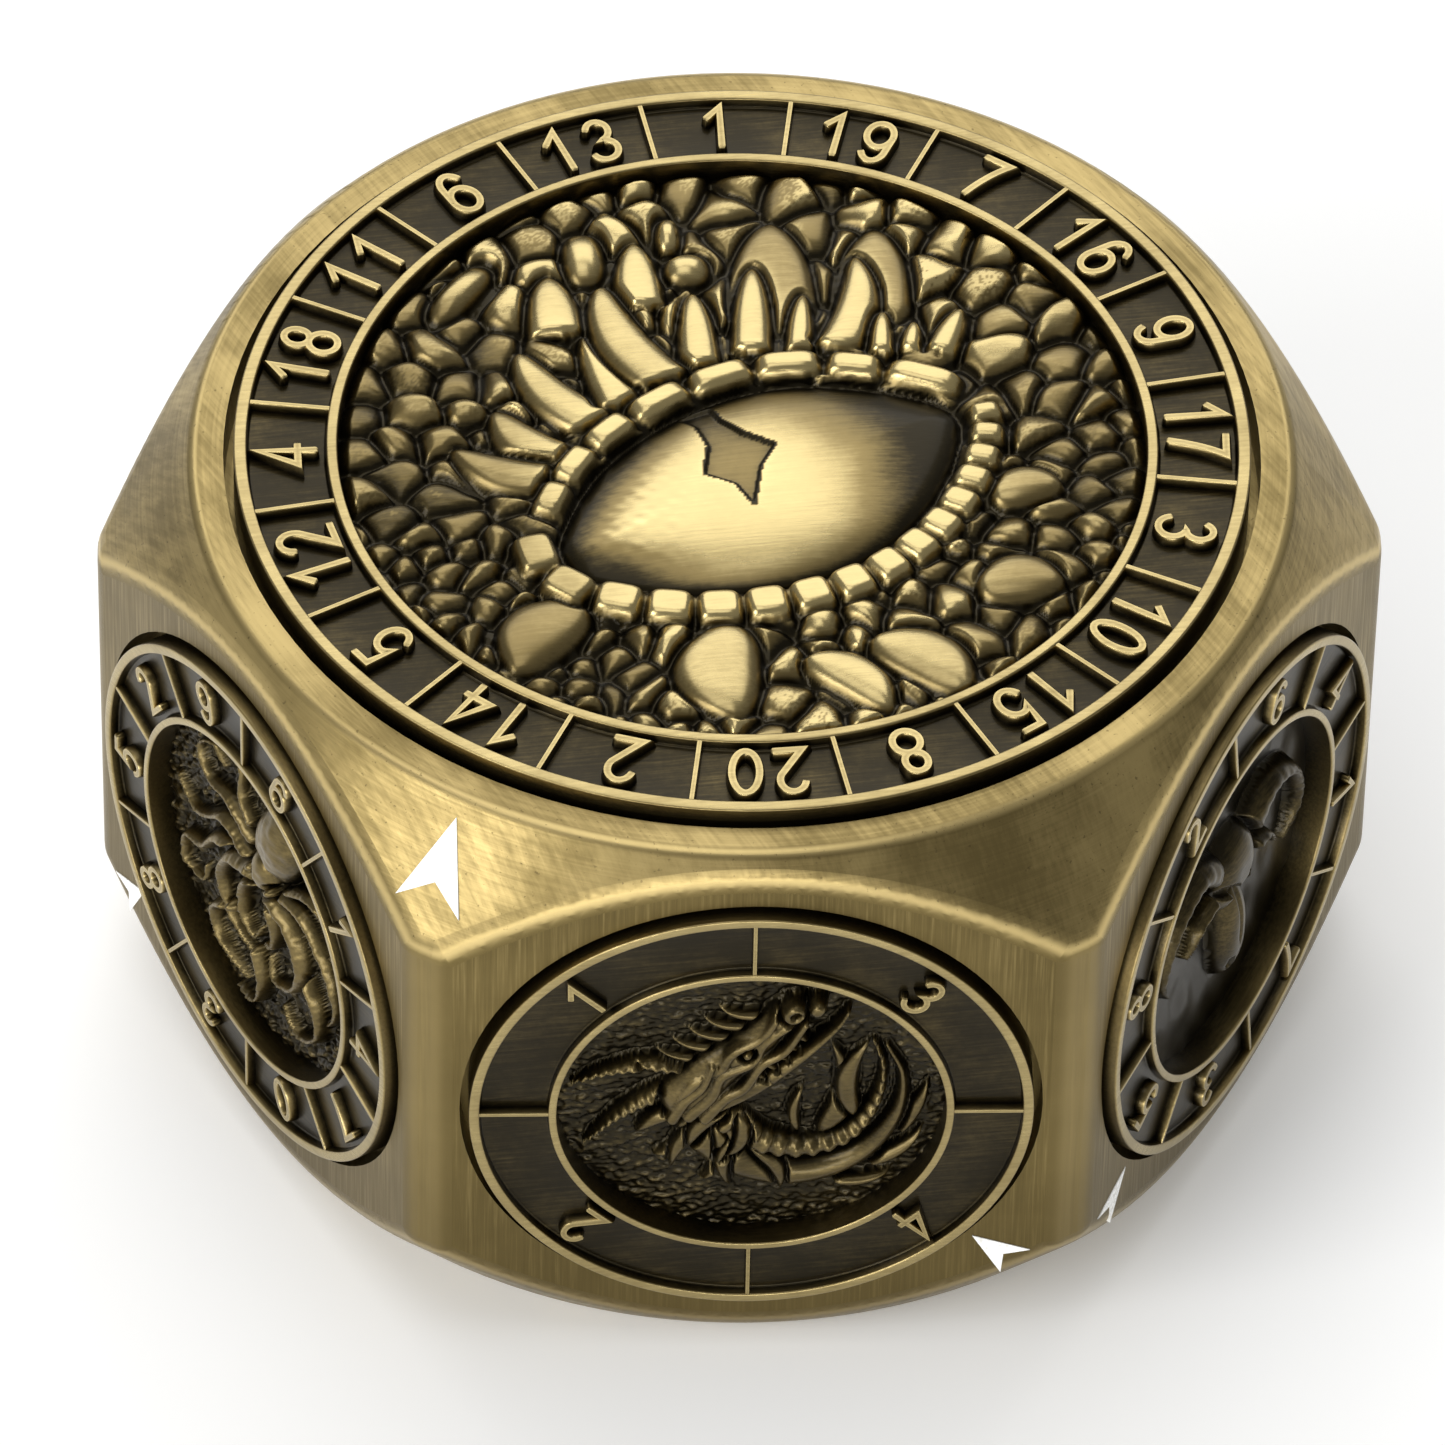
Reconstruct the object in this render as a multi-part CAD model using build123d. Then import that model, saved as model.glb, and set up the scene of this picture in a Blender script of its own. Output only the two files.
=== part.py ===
from build123d import *
import math
import os

# Seven-dial dice spinner: a hexagonal cast housing with one large number dial on top and one small
# number dial on each of its six sides. Every dial turns on its own ball bearing.
# Millimetres. +Z is up through the large dial, z = 0 is the ring the housing stands on, and the
# four-number dial faces -Y.

# Housing
ACROSS_FLATS = 35.0
BODY_HEIGHT = 21.3
RIDGE_INSET = 0.57        # from the flats in to the ridge round the top and the base
CHAMFER_DROP = 3.9        # height of the turned chamfer, measured at a corner
CORNER_TRIM = 0.33        # taken off each sharp corner by turning
EDGE_RADIUS = 1.3         # softened edges between the sides, the corners and the chamfers
RIDGE_RADIUS = 0.6        # softened ridge round the top and the base
BEZEL_WIDTH = 0.98        # flat band between the ridge and the large pocket
SIDE_BORDER = 1.5         # least metal beside a small dial
RIM_BORDER = 1.3          # least metal above and below a small dial

# Large dial
TOP_PROUD = 0.45
TOP_GAP = 0.32
TOP_THICKNESS = 2.1
TOP_RIM = 0.4
TOP_RING = 2.45           # width of the number ring
TOP_INNER_RIM = 0.34
TOP_RING_DEPTH = 0.35
TOP_RELIEF_DEPTH = 0.9

# Small dials
SIDE_PROUD = 0.35
SIDE_GAP = 0.28
SIDE_THICKNESS = 1.4
SIDE_RIM = 0.32
SIDE_RING = 2.1
SIDE_INNER_RIM = 0.25
SIDE_RING_DEPTH = 0.32
SIDE_RELIEF_DEPTH = 1.0
SPIGOT_BORDER = 1.6       # how much smaller the spigot behind a small dial is than the dial
SPIGOT_DEPTH = 0.4

# Fits
UNDER_DIAL_GAP = 0.1      # between a dial and the floor of its pocket
SPIGOT_GAP = 0.3
BALL_GAP = 0.03
SCREW_HEAD_GAP = 0.6
CAGE_GAP = 0.12
CAGE_HEIGHT = 1.4         # half the cage's height over the ball's radius
DIVIDER_WIDTH = 0.18

# Ball bearings: bore and outer radius, width, ball radius, number of balls, and how far each ring
# reaches towards the middle of the balls, as a share of the ball's radius
TOP_BEARING = {"bore": 4.0, "outer": 8.0, "width": 5.0, "ball": 1.0, "count": 9, "land": 0.55}
SIDE_BEARING = {"bore": 1.5, "outer": 4.0, "width": 3.0, "ball": 0.6, "count": 7, "land": 0.5}
BEARING_EDGE = 0.15

# Hub screws
TOP_LIP = 0.7             # housing metal over the large bearing
TOP_SCREW = {"head": 2.8, "head_height": 1.4, "shank": 1.5, "grip": 4.0, "socket": 1.25}
TOP_WASHER_WIDTH = 1.2    # how far the washer covers the inner ring
TOP_WASHER_THICKNESS = 0.6
SIDE_LIP = 1.3            # housing metal behind a small bearing
SIDE_SCREW = {"head": 2.0, "head_height": 1.0, "shank": 0.8, "grip": 2.5, "socket": 0.75}
THREAD_RUNOUT = 0.2

# Base cover
COVER_SHOULDER = 3.6      # width of the ledge that the cover sits on
COVER_THICKNESS = 1.6
COVER_RECESS = 0.3        # how far the cover sits above the surface the housing stands on
COVER_GAP = 0.1
COVER_SCREW = {"head": 1.6, "head_height": 0.8, "shank": 0.8, "grip": 4.0, "socket": 0.7}
COVER_SCREWS = 3
COVER_SCREW_INSET = 2.2   # from the cover's ledge in to the screws
CAVITY_CEILING = 0.2      # cavity goes this far above the lower face of the large bearing

# Index arrows
ARROW_LENGTH = 1.8
ARROW_WIDTH = 1.35
ARROW_NOTCH = 0.5
ARROW_DEPTH = 0.2
ARROW_PROUD = 0.03
ARROW_CLEAR = 0.25        # from a small pocket's edge to the arrow's tip
ARROW_ANGLE = 41          # degrees below level
TOP_ARROW_LENGTH = 2.9
TOP_ARROW_WIDTH = 2.2
TOP_ARROW_NOTCH = 0.8
TOP_ARROW_AT = 239.0      # degrees round from +X
TOP_ARROW_TIP = 0.7       # down the chamfer from the ridge to the arrow's tip

# Dials: name, side (0 faces -Y, then counter-clockwise from above), number of sectors,
# resting turn of the first divider clockwise from its top, and the side its arrow is on
SIDE_DIALS = [
    ("d4", 0, 4, 0.0, 1),
    ("d8", 1, 8, -8.5, -1),
    ("d12", 2, 12, 0.0, 1),
    ("d6", 3, 6, 30.0, -1),
    ("d100", 4, 10, 0.0, 1),
    ("d10", 5, 10, 0.0, -1),
]
TOP_SECTORS = 20
TOP_TURN = 7.2

# Worked out from the sizes above
face_r = ACROSS_FLATS / 2
half_face = face_r * math.tan(math.radians(30))
corner_r = face_r / math.cos(math.radians(30)) - CORNER_TRIM
ridge_r = face_r - RIDGE_INSET
mid_z = BODY_HEIGHT / 2
chamfer_slope = CHAMFER_DROP / (corner_r - ridge_r)
face_half_height = mid_z - RIDGE_INSET * chamfer_slope

top_pocket_r = ridge_r - BEZEL_WIDTH
top_dial_r = top_pocket_r - TOP_GAP
top_pocket_depth = TOP_THICKNESS - TOP_PROUD + UNDER_DIAL_GAP
top_bearing_z = BODY_HEIGHT - top_pocket_depth - TOP_LIP
side_dial_r = min(half_face - SIDE_BORDER, face_half_height - RIM_BORDER)
side_pocket_r = side_dial_r + SIDE_GAP
side_pocket_depth = SIDE_THICKNESS - SIDE_PROUD + UNDER_DIAL_GAP
spigot_r = side_dial_r - SPIGOT_BORDER
spigot_pocket_depth = side_pocket_depth + SPIGOT_DEPTH
side_bearing_r = face_r - spigot_pocket_depth - 2 * UNDER_DIAL_GAP
cavity_r = side_bearing_r - SIDE_BEARING["width"] - SIDE_LIP
cavity_top = top_bearing_z - TOP_BEARING["width"] - CAVITY_CEILING
cover_r = cavity_r + COVER_SHOULDER
cover_top = COVER_RECESS + COVER_THICKNESS
cover_screw_r = cover_r - COVER_SCREW_INSET


def rod(radius, low, high):
    """A round bar along Z between two heights."""
    return Pos(0, 0, low) * Cylinder(radius, high - low, align=(Align.CENTER, Align.CENTER, Align.MIN))


def turned(points):
    """A solid turned round Z from its (radius, height) outline."""
    outline = Polyline(*[(r, 0, z) for r, z in points], close=True)
    return revolve(make_face(outline), Axis.Z)


def side_plane(side):
    """The outer face of one side: x to its right, y up and z out of the housing."""
    angle = math.radians(60 * side - 90)
    normal = (math.cos(angle), math.sin(angle), 0)
    right = (-math.sin(angle), math.cos(angle), 0)
    centre = (face_r * normal[0], face_r * normal[1], mid_z)
    return Plane(origin=centre, x_dir=right, z_dir=normal)


def groove_radius(bearing):
    """Distance from the bearing's axis to the middle of its balls."""
    return (bearing["bore"] + bearing["outer"]) / 2


def land_half(bearing):
    """Half the gap between the two rings of a bearing, but for the play of its balls."""
    return bearing["ball"] * (1 - bearing["land"])


def inner_land_r(bearing):
    """Outer radius of the bearing's inner ring."""
    return groove_radius(bearing) - land_half(bearing) - BALL_GAP


def edge_broken(ring):
    """A bearing ring with the outer edge of its upper face chamfered."""
    circles = ring.edges().filter_by(GeomType.CIRCLE)
    outer_edge = circles.group_by(Axis.Z)[-1].sort_by(SortBy.RADIUS)[-1]
    return chamfer(outer_edge, BEARING_EDGE)


def make_bearing(bearing):
    """Rings, balls and cage of a ball bearing whose upper face is at z = 0."""
    low = -bearing["width"]
    middle = low / 2
    pitch = groove_radius(bearing)
    track = Pos(0, 0, middle) * Torus(pitch, bearing["ball"] + BALL_GAP)
    inner = rod(inner_land_r(bearing), low, 0) - rod(bearing["bore"], low, 0)
    inner = edge_broken(inner) - track
    outer = rod(bearing["outer"], low, 0) - rod(pitch + land_half(bearing) + BALL_GAP, low, 0)
    outer = edge_broken(outer) - track
    spots = [Rot(0, 0, 360 * n / bearing["count"]) * Pos(pitch, 0, middle) for n in range(bearing["count"])]
    balls = [spot * Sphere(bearing["ball"]) for spot in spots]
    cage_half = land_half(bearing) - CAGE_GAP
    cage_low = middle - bearing["ball"] * CAGE_HEIGHT
    cage_high = middle + bearing["ball"] * CAGE_HEIGHT
    cage = rod(pitch + cage_half, cage_low, cage_high) - rod(pitch - cage_half, cage_low, cage_high)
    for spot in spots:
        cage -= spot * Rot(0, 90, 0) * Cylinder(bearing["ball"] + BALL_GAP, bearing["outer"] - bearing["bore"])
    return {"bearing_inner_ring": inner, "bearing_outer_ring": outer, "bearing_balls": Compound(children=balls),
            "bearing_cage": cage}


def make_screw(screw):
    """A socket-head screw pointing up, with the underside of its head at z = 0."""
    head = chamfer(rod(screw["head"], -screw["head_height"], 0).edges().group_by(Axis.Z)[0],
                   screw["head_height"] * 0.2)
    body = head + rod(screw["shank"], 0, screw["grip"])
    socket = extrude(RegularPolygon(screw["socket"], 6), screw["head_height"] * 0.6)
    return body - Pos(0, 0, -screw["head_height"]) * socket


def make_dial(radius, rim, ring, inner_rim, ring_depth, relief_depth, thickness, back, sectors, turn):
    """A number dial with its rims at z = 0; back is the (radius, height) outline behind its flange."""
    ring_out = radius - rim
    ring_in = ring_out - ring
    relief_r = ring_in - inner_rim
    edge = rim * 0.3
    outline = [(0, -relief_depth), (relief_r, -relief_depth), (relief_r, 0), (ring_in, 0),
               (ring_in, -ring_depth), (ring_out, -ring_depth), (ring_out, 0), (radius - edge, 0),
               (radius, -edge), (radius, -thickness)]
    dial = turned(outline + back)
    divider_length = ring + rim * 0.4 + inner_rim * 0.4
    divider = Pos(0, ring_in + ring / 2, -ring_depth / 2) * Box(DIVIDER_WIDTH, divider_length, ring_depth)
    for n in range(sectors):
        dial += Rot(0, 0, -turn - 360 * n / sectors) * divider
    return dial


def make_arrow(length, width, notch):
    """A plain notched arrowhead whose tip is at the origin and points along +Y."""
    outline = Polyline((0, 0), (width / 2, -length), (0, notch - length), (-width / 2, -length), close=True)
    return Pos(0, 0, -ARROW_DEPTH) * extrude(make_face(outline), ARROW_DEPTH + ARROW_PROUD)


def hub_outline(shoulder_r, shoulder_low, bearing, screw):
    """Outline behind a dial: shoulder on the inner ring, stub through it, and the threaded hole."""
    stub_low = shoulder_low - bearing["width"]
    hole_top = stub_low + screw["grip"] + THREAD_RUNOUT
    return [(shoulder_r, shoulder_low), (bearing["bore"], shoulder_low), (bearing["bore"], stub_low),
            (screw["shank"], stub_low), (screw["shank"], hole_top), (0, hole_top)]


# The large dial and what it turns on, from the rims down
top_place = Pos(0, 0, BODY_HEIGHT + TOP_PROUD)
top_hub_low = top_bearing_z - BODY_HEIGHT - TOP_PROUD
top_shoulder_r = inner_land_r(TOP_BEARING) - BEARING_EDGE
top_back = [(top_shoulder_r, -TOP_THICKNESS)] + hub_outline(top_shoulder_r, top_hub_low, TOP_BEARING, TOP_SCREW)
parts = {}
parts["dial_d20"] = top_place * make_dial(
    top_dial_r, TOP_RIM, TOP_RING, TOP_INNER_RIM, TOP_RING_DEPTH, TOP_RELIEF_DEPTH, TOP_THICKNESS, top_back,
    TOP_SECTORS, TOP_TURN)
for name, piece in make_bearing(TOP_BEARING).items():
    parts[name + "_d20"] = Pos(0, 0, top_bearing_z) * piece
top_stub_low = top_bearing_z - TOP_BEARING["width"]
washer_r = TOP_BEARING["bore"] + TOP_WASHER_WIDTH
washer_low = top_stub_low - TOP_WASHER_THICKNESS
parts["hub_washer_d20"] = rod(washer_r, washer_low, top_stub_low) - rod(
    TOP_SCREW["shank"], washer_low, top_stub_low)
parts["hub_screw_d20"] = Pos(0, 0, washer_low) * make_screw(TOP_SCREW)

# The six small dials
side_rim_r = face_r + SIDE_PROUD
side_hub_low = side_bearing_r - side_rim_r
side_shoulder_r = inner_land_r(SIDE_BEARING) - BEARING_EDGE
spigot_low = -SIDE_THICKNESS - SPIGOT_DEPTH + UNDER_DIAL_GAP
side_back = [(spigot_r, -SIDE_THICKNESS), (spigot_r, spigot_low), (side_shoulder_r, spigot_low)]
side_back += hub_outline(side_shoulder_r, side_hub_low, SIDE_BEARING, SIDE_SCREW)
side_bearing_pieces = make_bearing(SIDE_BEARING)
side_hub_screw = Pos(0, 0, side_hub_low - SIDE_BEARING["width"]) * make_screw(SIDE_SCREW)
for name, side, sectors, turn, _ in SIDE_DIALS:
    rims = side_plane(side).location * Pos(0, 0, SIDE_PROUD)
    parts["dial_" + name] = rims * make_dial(
        side_dial_r, SIDE_RIM, SIDE_RING, SIDE_INNER_RIM, SIDE_RING_DEPTH, SIDE_RELIEF_DEPTH, SIDE_THICKNESS,
        side_back, sectors, turn)
    for piece_name, piece in side_bearing_pieces.items():
        parts[piece_name + "_" + name] = rims * Pos(0, 0, side_hub_low) * piece
    parts["hub_screw_" + name] = rims * side_hub_screw


def body_blank():
    """The hexagonal casting before its pockets are cut: turned chamfers, trimmed corners, soft edges."""
    chamfer_low = CHAMFER_DROP
    chamfer_high = BODY_HEIGHT - CHAMFER_DROP
    turning = turned([(0, 0), (ridge_r, 0), (corner_r, chamfer_low), (corner_r, chamfer_high),
                      (ridge_r, BODY_HEIGHT), (0, BODY_HEIGHT)])
    blank = extrude(RegularPolygon(face_r, 6, major_radius=False), BODY_HEIGHT) & turning
    between = [edge for level in blank.edges().group_by(Axis.Z)[1:-1] for edge in level]
    blank = fillet(between, EDGE_RADIUS)
    levels = blank.edges().group_by(Axis.Z)
    return fillet(levels[0] + levels[-1], RIDGE_RADIUS)


def top_cutter():
    """Everything cut along Z: the large pocket, its bearing seat, the cavity and the cover's ledge."""
    pocket_floor = BODY_HEIGHT - top_pocket_depth
    lip_r = groove_radius(TOP_BEARING) + land_half(TOP_BEARING)
    cutter = rod(top_pocket_r, pocket_floor, BODY_HEIGHT)
    cutter += rod(lip_r, top_bearing_z, pocket_floor)
    cutter += rod(TOP_BEARING["outer"], cavity_top, top_bearing_z)
    cutter += rod(cavity_r, 0, cavity_top)
    return cutter + rod(cover_r, 0, cover_top)


def side_cutter():
    """Everything cut into one side, along its own axis from its outer face."""
    seat_top = side_bearing_r - face_r
    seat_low = seat_top - SIDE_BEARING["width"]
    lip_low = seat_low - SIDE_LIP - SIDE_SCREW["head_height"]
    cutter = rod(side_pocket_r, -side_pocket_depth, SIDE_PROUD)
    cutter += rod(spigot_r + SPIGOT_GAP, -spigot_pocket_depth, 0)
    cutter += rod(SIDE_BEARING["outer"], seat_low, 0)
    return cutter + rod(SIDE_SCREW["head"] + SCREW_HEAD_GAP, lip_low, 0)


def index_arrows():
    """One arrow low on each side beside its dial, and one on the chamfer for the large dial."""
    tip = side_pocket_r + ARROW_CLEAR
    for _, side, _, _, hand in SIDE_DIALS:
        place = side_plane(side).location * Rot(0, 0, hand * (90 - ARROW_ANGLE)) * Pos(0, -tip, 0)
        yield place * make_arrow(ARROW_LENGTH, ARROW_WIDTH, ARROW_NOTCH)
    tilt = math.atan(chamfer_slope)
    tip_r = ridge_r + TOP_ARROW_TIP * math.cos(tilt)
    tip_z = BODY_HEIGHT - TOP_ARROW_TIP * math.sin(tilt)
    place = Rot(0, 0, TOP_ARROW_AT) * Pos(tip_r, 0, tip_z) * Rot(0, math.degrees(tilt), 0) * Rot(0, 0, 90)
    yield place * make_arrow(TOP_ARROW_LENGTH, TOP_ARROW_WIDTH, TOP_ARROW_NOTCH)


# The casting, the white arrows let into it, and the cover that closes it from below
body = body_blank() - top_cutter()
for _, side, _, _, _ in SIDE_DIALS:
    body -= side_plane(side).location * side_cutter()
arrows = list(index_arrows())
for arrow in arrows:
    body -= arrow

cover = rod(cover_r - COVER_GAP, COVER_RECESS, cover_top)
cover = chamfer(cover.edges().group_by(Axis.Z)[0], COVER_GAP)
head_low = COVER_RECESS + COVER_GAP
head_top = head_low + COVER_SCREW["head_height"]
screws = []
for n in range(COVER_SCREWS):
    spot = Rot(0, 0, 360 * n / COVER_SCREWS) * Pos(cover_screw_r, 0, 0)
    screws.append(spot * Pos(0, 0, head_top) * make_screw(COVER_SCREW))
    cover -= spot * rod(COVER_SCREW["head"] + COVER_GAP, COVER_RECESS, head_top)
    cover -= spot * rod(COVER_SCREW["shank"] + COVER_GAP, COVER_RECESS, cover_top)
    body -= spot * rod(COVER_SCREW["shank"], cover_top, head_top + COVER_SCREW["grip"] + THREAD_RUNOUT)
parts["body_shell"] = body
parts["pointer_marks"] = Compound(children=arrows)
parts["base_cover"] = cover
parts["cover_screws"] = Compound(children=screws)

os.makedirs("parts", exist_ok=True)
for name, piece in parts.items():
    export_step(piece, "parts/" + name + ".step")
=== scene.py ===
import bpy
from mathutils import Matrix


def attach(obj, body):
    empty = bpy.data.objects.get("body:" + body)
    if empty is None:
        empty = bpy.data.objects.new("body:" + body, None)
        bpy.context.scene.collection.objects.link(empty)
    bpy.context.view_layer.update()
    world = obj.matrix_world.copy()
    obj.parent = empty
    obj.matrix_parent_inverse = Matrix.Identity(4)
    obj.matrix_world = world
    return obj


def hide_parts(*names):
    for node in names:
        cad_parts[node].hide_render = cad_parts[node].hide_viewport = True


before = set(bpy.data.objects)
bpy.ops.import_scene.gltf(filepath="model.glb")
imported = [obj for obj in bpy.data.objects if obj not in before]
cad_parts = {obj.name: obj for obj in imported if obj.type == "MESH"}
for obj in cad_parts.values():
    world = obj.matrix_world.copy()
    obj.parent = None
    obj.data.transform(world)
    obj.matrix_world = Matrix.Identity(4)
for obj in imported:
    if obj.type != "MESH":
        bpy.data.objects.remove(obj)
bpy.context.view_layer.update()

from math import atan2, cos, degrees, hypot, pi, radians, sin

import bpy
import numpy as np
from mathutils import Matrix, Vector

# ---- Case ----
# The case is one hexagonal zinc alloy casting with turned chamfers, plated in antique bronze.
# Its sides are brushed up and down and its chamfers round and round; painted highlights lie on
# its soft edges and upward faces, and painted shade near its base. Every other piece is pressed or screwed into
# it.
MM = 0.001
CASE_DEEP = (0.112, 0.082, 0.029, 1)
CASE_MIDDLE = (0.228, 0.170, 0.064, 1)
CASE_PIT = (0.075, 0.052, 0.022, 1)
CASE_HIGHLIGHT = (0.60, 0.46, 0.20, 1)
CASE_LINE = 0.11 * MM
CASE_LINE_LENGTH = 5.0 * MM
CASE_RADIUS = 17.5 * MM
CHAMFER_LEAN = 0.60
CASE_HALF_HEIGHT = 10.65 * MM
RIDGE_START = 16.631 * MM
RIDGE_ROUNDING = 0.60 * MM
CASE_PAINTED_SHADE_TO = 10.0 * MM


def new_finish(name, metallic=1.0):
    """A material and its Principled shader."""
    material = bpy.data.materials.new(name)
    material.use_nodes = True
    shader = material.node_tree.nodes["Principled BSDF"]
    settings(shader, Metallic=metallic)
    return material, shader


def new_node(beside, kind):
    """A node of a kind, in the same material as another node or a socket."""
    return beside.id_data.nodes.new("ShaderNode" + kind)


def feed(socket, value):
    """Joins a socket to another node's output, or gives it a plain value."""
    if isinstance(value, bpy.types.NodeSocket):
        socket.id_data.links.new(value, socket)
    else:
        socket.default_value = value


def settings(node, **values):
    """Sets or joins a node's inputs, each named with _ for a space."""
    for name, value in values.items():
        feed(node.inputs[name.replace("_", " ")], value)


def maths(operation, *values):
    beside = next(value for value in values if isinstance(value, bpy.types.NodeSocket))
    node = new_node(beside, "Math")
    node.operation = operation
    for socket, value in zip(node.inputs, values):
        feed(socket, value)
    return node.outputs[0]


def plus(first, second):
    return maths("ADD", first, second)


def minus(first, second):
    return maths("SUBTRACT", first, second)


def times(first, second):
    return maths("MULTIPLY", first, second)


def larger(first, second):
    return maths("MAXIMUM", first, second)


def soft_step(value, low, high, least=0.0, most=1.0):
    """Goes smoothly from least to most as value goes from low to high."""
    node = new_node(value, "MapRange")
    node.interpolation_type = "SMOOTHSTEP"
    for socket, given in zip(node.inputs, (value, low, high, least, most)):
        feed(socket, given)
    return node.outputs[0]


def mixed(share, first, second, kind="RGBA"):
    """A colour, or a VECTOR, that goes from first to second as share goes from 0 to 1."""
    node = new_node(share, "Mix")
    node.data_type = kind
    at = {"VECTOR": 4, "RGBA": 6}[kind]
    feed(node.inputs[0], share)
    feed(node.inputs[at], first)
    feed(node.inputs[at + 1], second)
    return node.outputs[{"VECTOR": 1, "RGBA": 2}[kind]]


def split(vector):
    node = new_node(vector, "SeparateXYZ")
    feed(node.inputs[0], vector)
    return node.outputs


def joined(x, y, z):
    node = new_node(x, "CombineXYZ")
    for socket, value in zip(node.inputs, (x, y, z)):
        feed(socket, value)
    return node.outputs[0]


def grain(place, size, detail=3.0, roughness=0.55):
    """Noise from 0 to 1 whose lumps are about size across."""
    node = new_node(place, "TexNoise")
    settings(node, Vector=place, Scale=1 / size, Detail=detail, Roughness=roughness)
    return node.outputs[0]


def roughened(shader, height, depth, strength, facing=None):
    """Stands fine lines or pits of a given depth on a surface."""
    node = new_node(shader, "Bump")
    if facing is not None:
        settings(node, Normal=facing)
    settings(node, Strength=strength, Distance=depth, Height=height)
    settings(shader, Normal=node.outputs[0])


def in_world(direction):
    """A direction on a piece, turned to follow the piece about."""
    node = new_node(direction, "VectorTransform")
    node.vector_type = "NORMAL"
    node.convert_from, node.convert_to = "OBJECT", "WORLD"
    feed(node.inputs[0], direction)
    return node.outputs[0]


def case_finish(name):
    """Brushed antique bronze: lines follow each face, with painted highlights on the soft edges and upward
    faces and painted shade near the base.
    """
    material, shader = new_finish(name)
    surface = new_node(shader, "TexCoord")
    place = surface.outputs["Object"]
    x, y, z = split(place)
    nx, ny, nz = split(surface.outputs["Normal"])
    lean = maths("ABSOLUTE", nz)

    radius = maths("SQRT", plus(times(x, x), times(y, y)))
    round_x = maths("DIVIDE", x, plus(radius, 1e-6))
    round_y = maths("DIVIDE", y, plus(radius, 1e-6))
    stretch = CASE_RADIUS * CASE_LINE / CASE_LINE_LENGTH
    turned_place = joined(minus(radius, z), times(round_x, stretch), times(round_y, stretch))
    across = minus(times(y, nx), times(x, ny))
    upright_place = joined(across, times(z, CASE_LINE / CASE_LINE_LENGTH), nx)
    slant = plus(x, times(y, 0.6))
    slant_place = joined(slant, times(y, 0.04), times(z, 0.3))

    turned_lines = grain(turned_place, CASE_LINE, 4.0, 0.6)
    upright_lines = soft_step(grain(upright_place, CASE_LINE, 4.0, 0.6), 0.0, 1.0, 0.22, 0.78)
    slant_lines = grain(slant_place, CASE_LINE * 1.6, 3.0, 0.6)
    on_top = soft_step(lean, 0.15, 0.45)
    crossed = plus(times(turned_lines, 0.45), times(slant_lines, 0.55))
    lines = plus(times(crossed, on_top), times(upright_lines, minus(1.0, on_top)))

    # Painted highlights: the vertical corners, the fillets between faces and the ridge round the bezel are made
    # brighter in colour, standing in for the light they catch.
    corner = maths("COSINE", times(maths("ARCTAN2", ny, nx), 6.0))
    off_side = soft_step(corner, -0.95, 1.0)
    upright = soft_step(lean, 0.50, 0.20)
    fillet_highlight = soft_step(maths("MINIMUM", lean, minus(CHAMFER_LEAN, lean)), 0.08, 0.30)
    corner_highlight = times(times(off_side, upright), 0.20)

    from_middle = minus(z, CASE_HALF_HEIGHT)
    ridge_out = maths("DIVIDE", minus(radius, RIDGE_START), RIDGE_ROUNDING)
    ridge_up = minus(maths("ABSOLUTE", from_middle), CASE_HALF_HEIGHT - RIDGE_ROUNDING)
    ridge_up = maths("DIVIDE", ridge_up, RIDGE_ROUNDING)
    on_ridge = times(maths("GREATER_THAN", ridge_out, 0.0),
                     maths("GREATER_THAN", ridge_up, CHAMFER_LEAN))
    ridge_facing = joined(times(round_x, ridge_out), times(round_y, ridge_out),
                          times(ridge_up, maths("SIGN", from_middle)))
    facing = in_world(mixed(on_ridge, surface.outputs["Normal"], ridge_facing, "VECTOR"))
    ridge_highlight = times(soft_step(ridge_out, 0.05, 0.42), soft_step(ridge_out, 0.80, 0.48))
    ridge_highlight = times(ridge_highlight, on_ridge)
    rubbed_and_highlight = larger(corner_highlight, larger(fillet_highlight, ridge_highlight))

    cloud = grain(place, 5.0 * MM, 4.0, 0.6)
    share = plus(times(lines, 0.50), times(cloud, 0.50))
    colour = mixed(soft_step(share, 0.22, 0.80), CASE_DEEP, CASE_MIDDLE)
    # Painted light: painted glints on the brightest brush lines and mottled painted light on upward faces join
    # the edge highlights and mix the colour towards the highlight colour.
    glint = times(soft_step(lines, 0.49, 0.78), 0.25)
    painted_light_mottle = plus(times(lines, 0.34), times(cloud, 0.66))
    painted_light_on_top = times(on_top, soft_step(painted_light_mottle, 0.36, 0.64, 0.10, 0.50))
    wear_and_painted_light = larger(times(rubbed_and_highlight, 0.80), larger(glint, painted_light_on_top))
    colour = mixed(wear_and_painted_light, colour, CASE_HIGHLIGHT)
    # Painted shade: the case's colour goes darker towards the base, standing in for the dimmer light near the
    # floor.
    colour = mixed(soft_step(z, CASE_PAINTED_SHADE_TO, 0.0, 0.0, 0.58), colour, CASE_DEEP)
    pits = times(soft_step(grain(place, 0.13 * MM, 2.0, 0.5), 0.66, 0.74), on_top)
    colour = mixed(times(pits, 0.55), colour, CASE_PIT)
    dull = soft_step(lines, 0.30, 0.75, 0.43, 0.33)
    settings(shader, Base_Color=colour, Roughness=minus(dull, times(rubbed_and_highlight, 0.08)))
    roughened(shader, lines, 0.02 * MM, 0.22, facing)
    return material


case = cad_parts["body_shell"]
case.data.materials[0] = case_finish("case_bronze")
shading = case.modifiers.new("even_shading", "WEIGHTED_NORMAL")
shading.mode = "FACE_AREA"
shading.weight = 100
shading.keep_sharp = True

# ---- Base cover and its screws ----
# A turned cover of the same plated zinc closes the cavity from below. Three black steel
# screws hold it against a ledge in the case.
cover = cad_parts["base_cover"]
cover.data.materials[0] = case_finish("cover_bronze")


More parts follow.
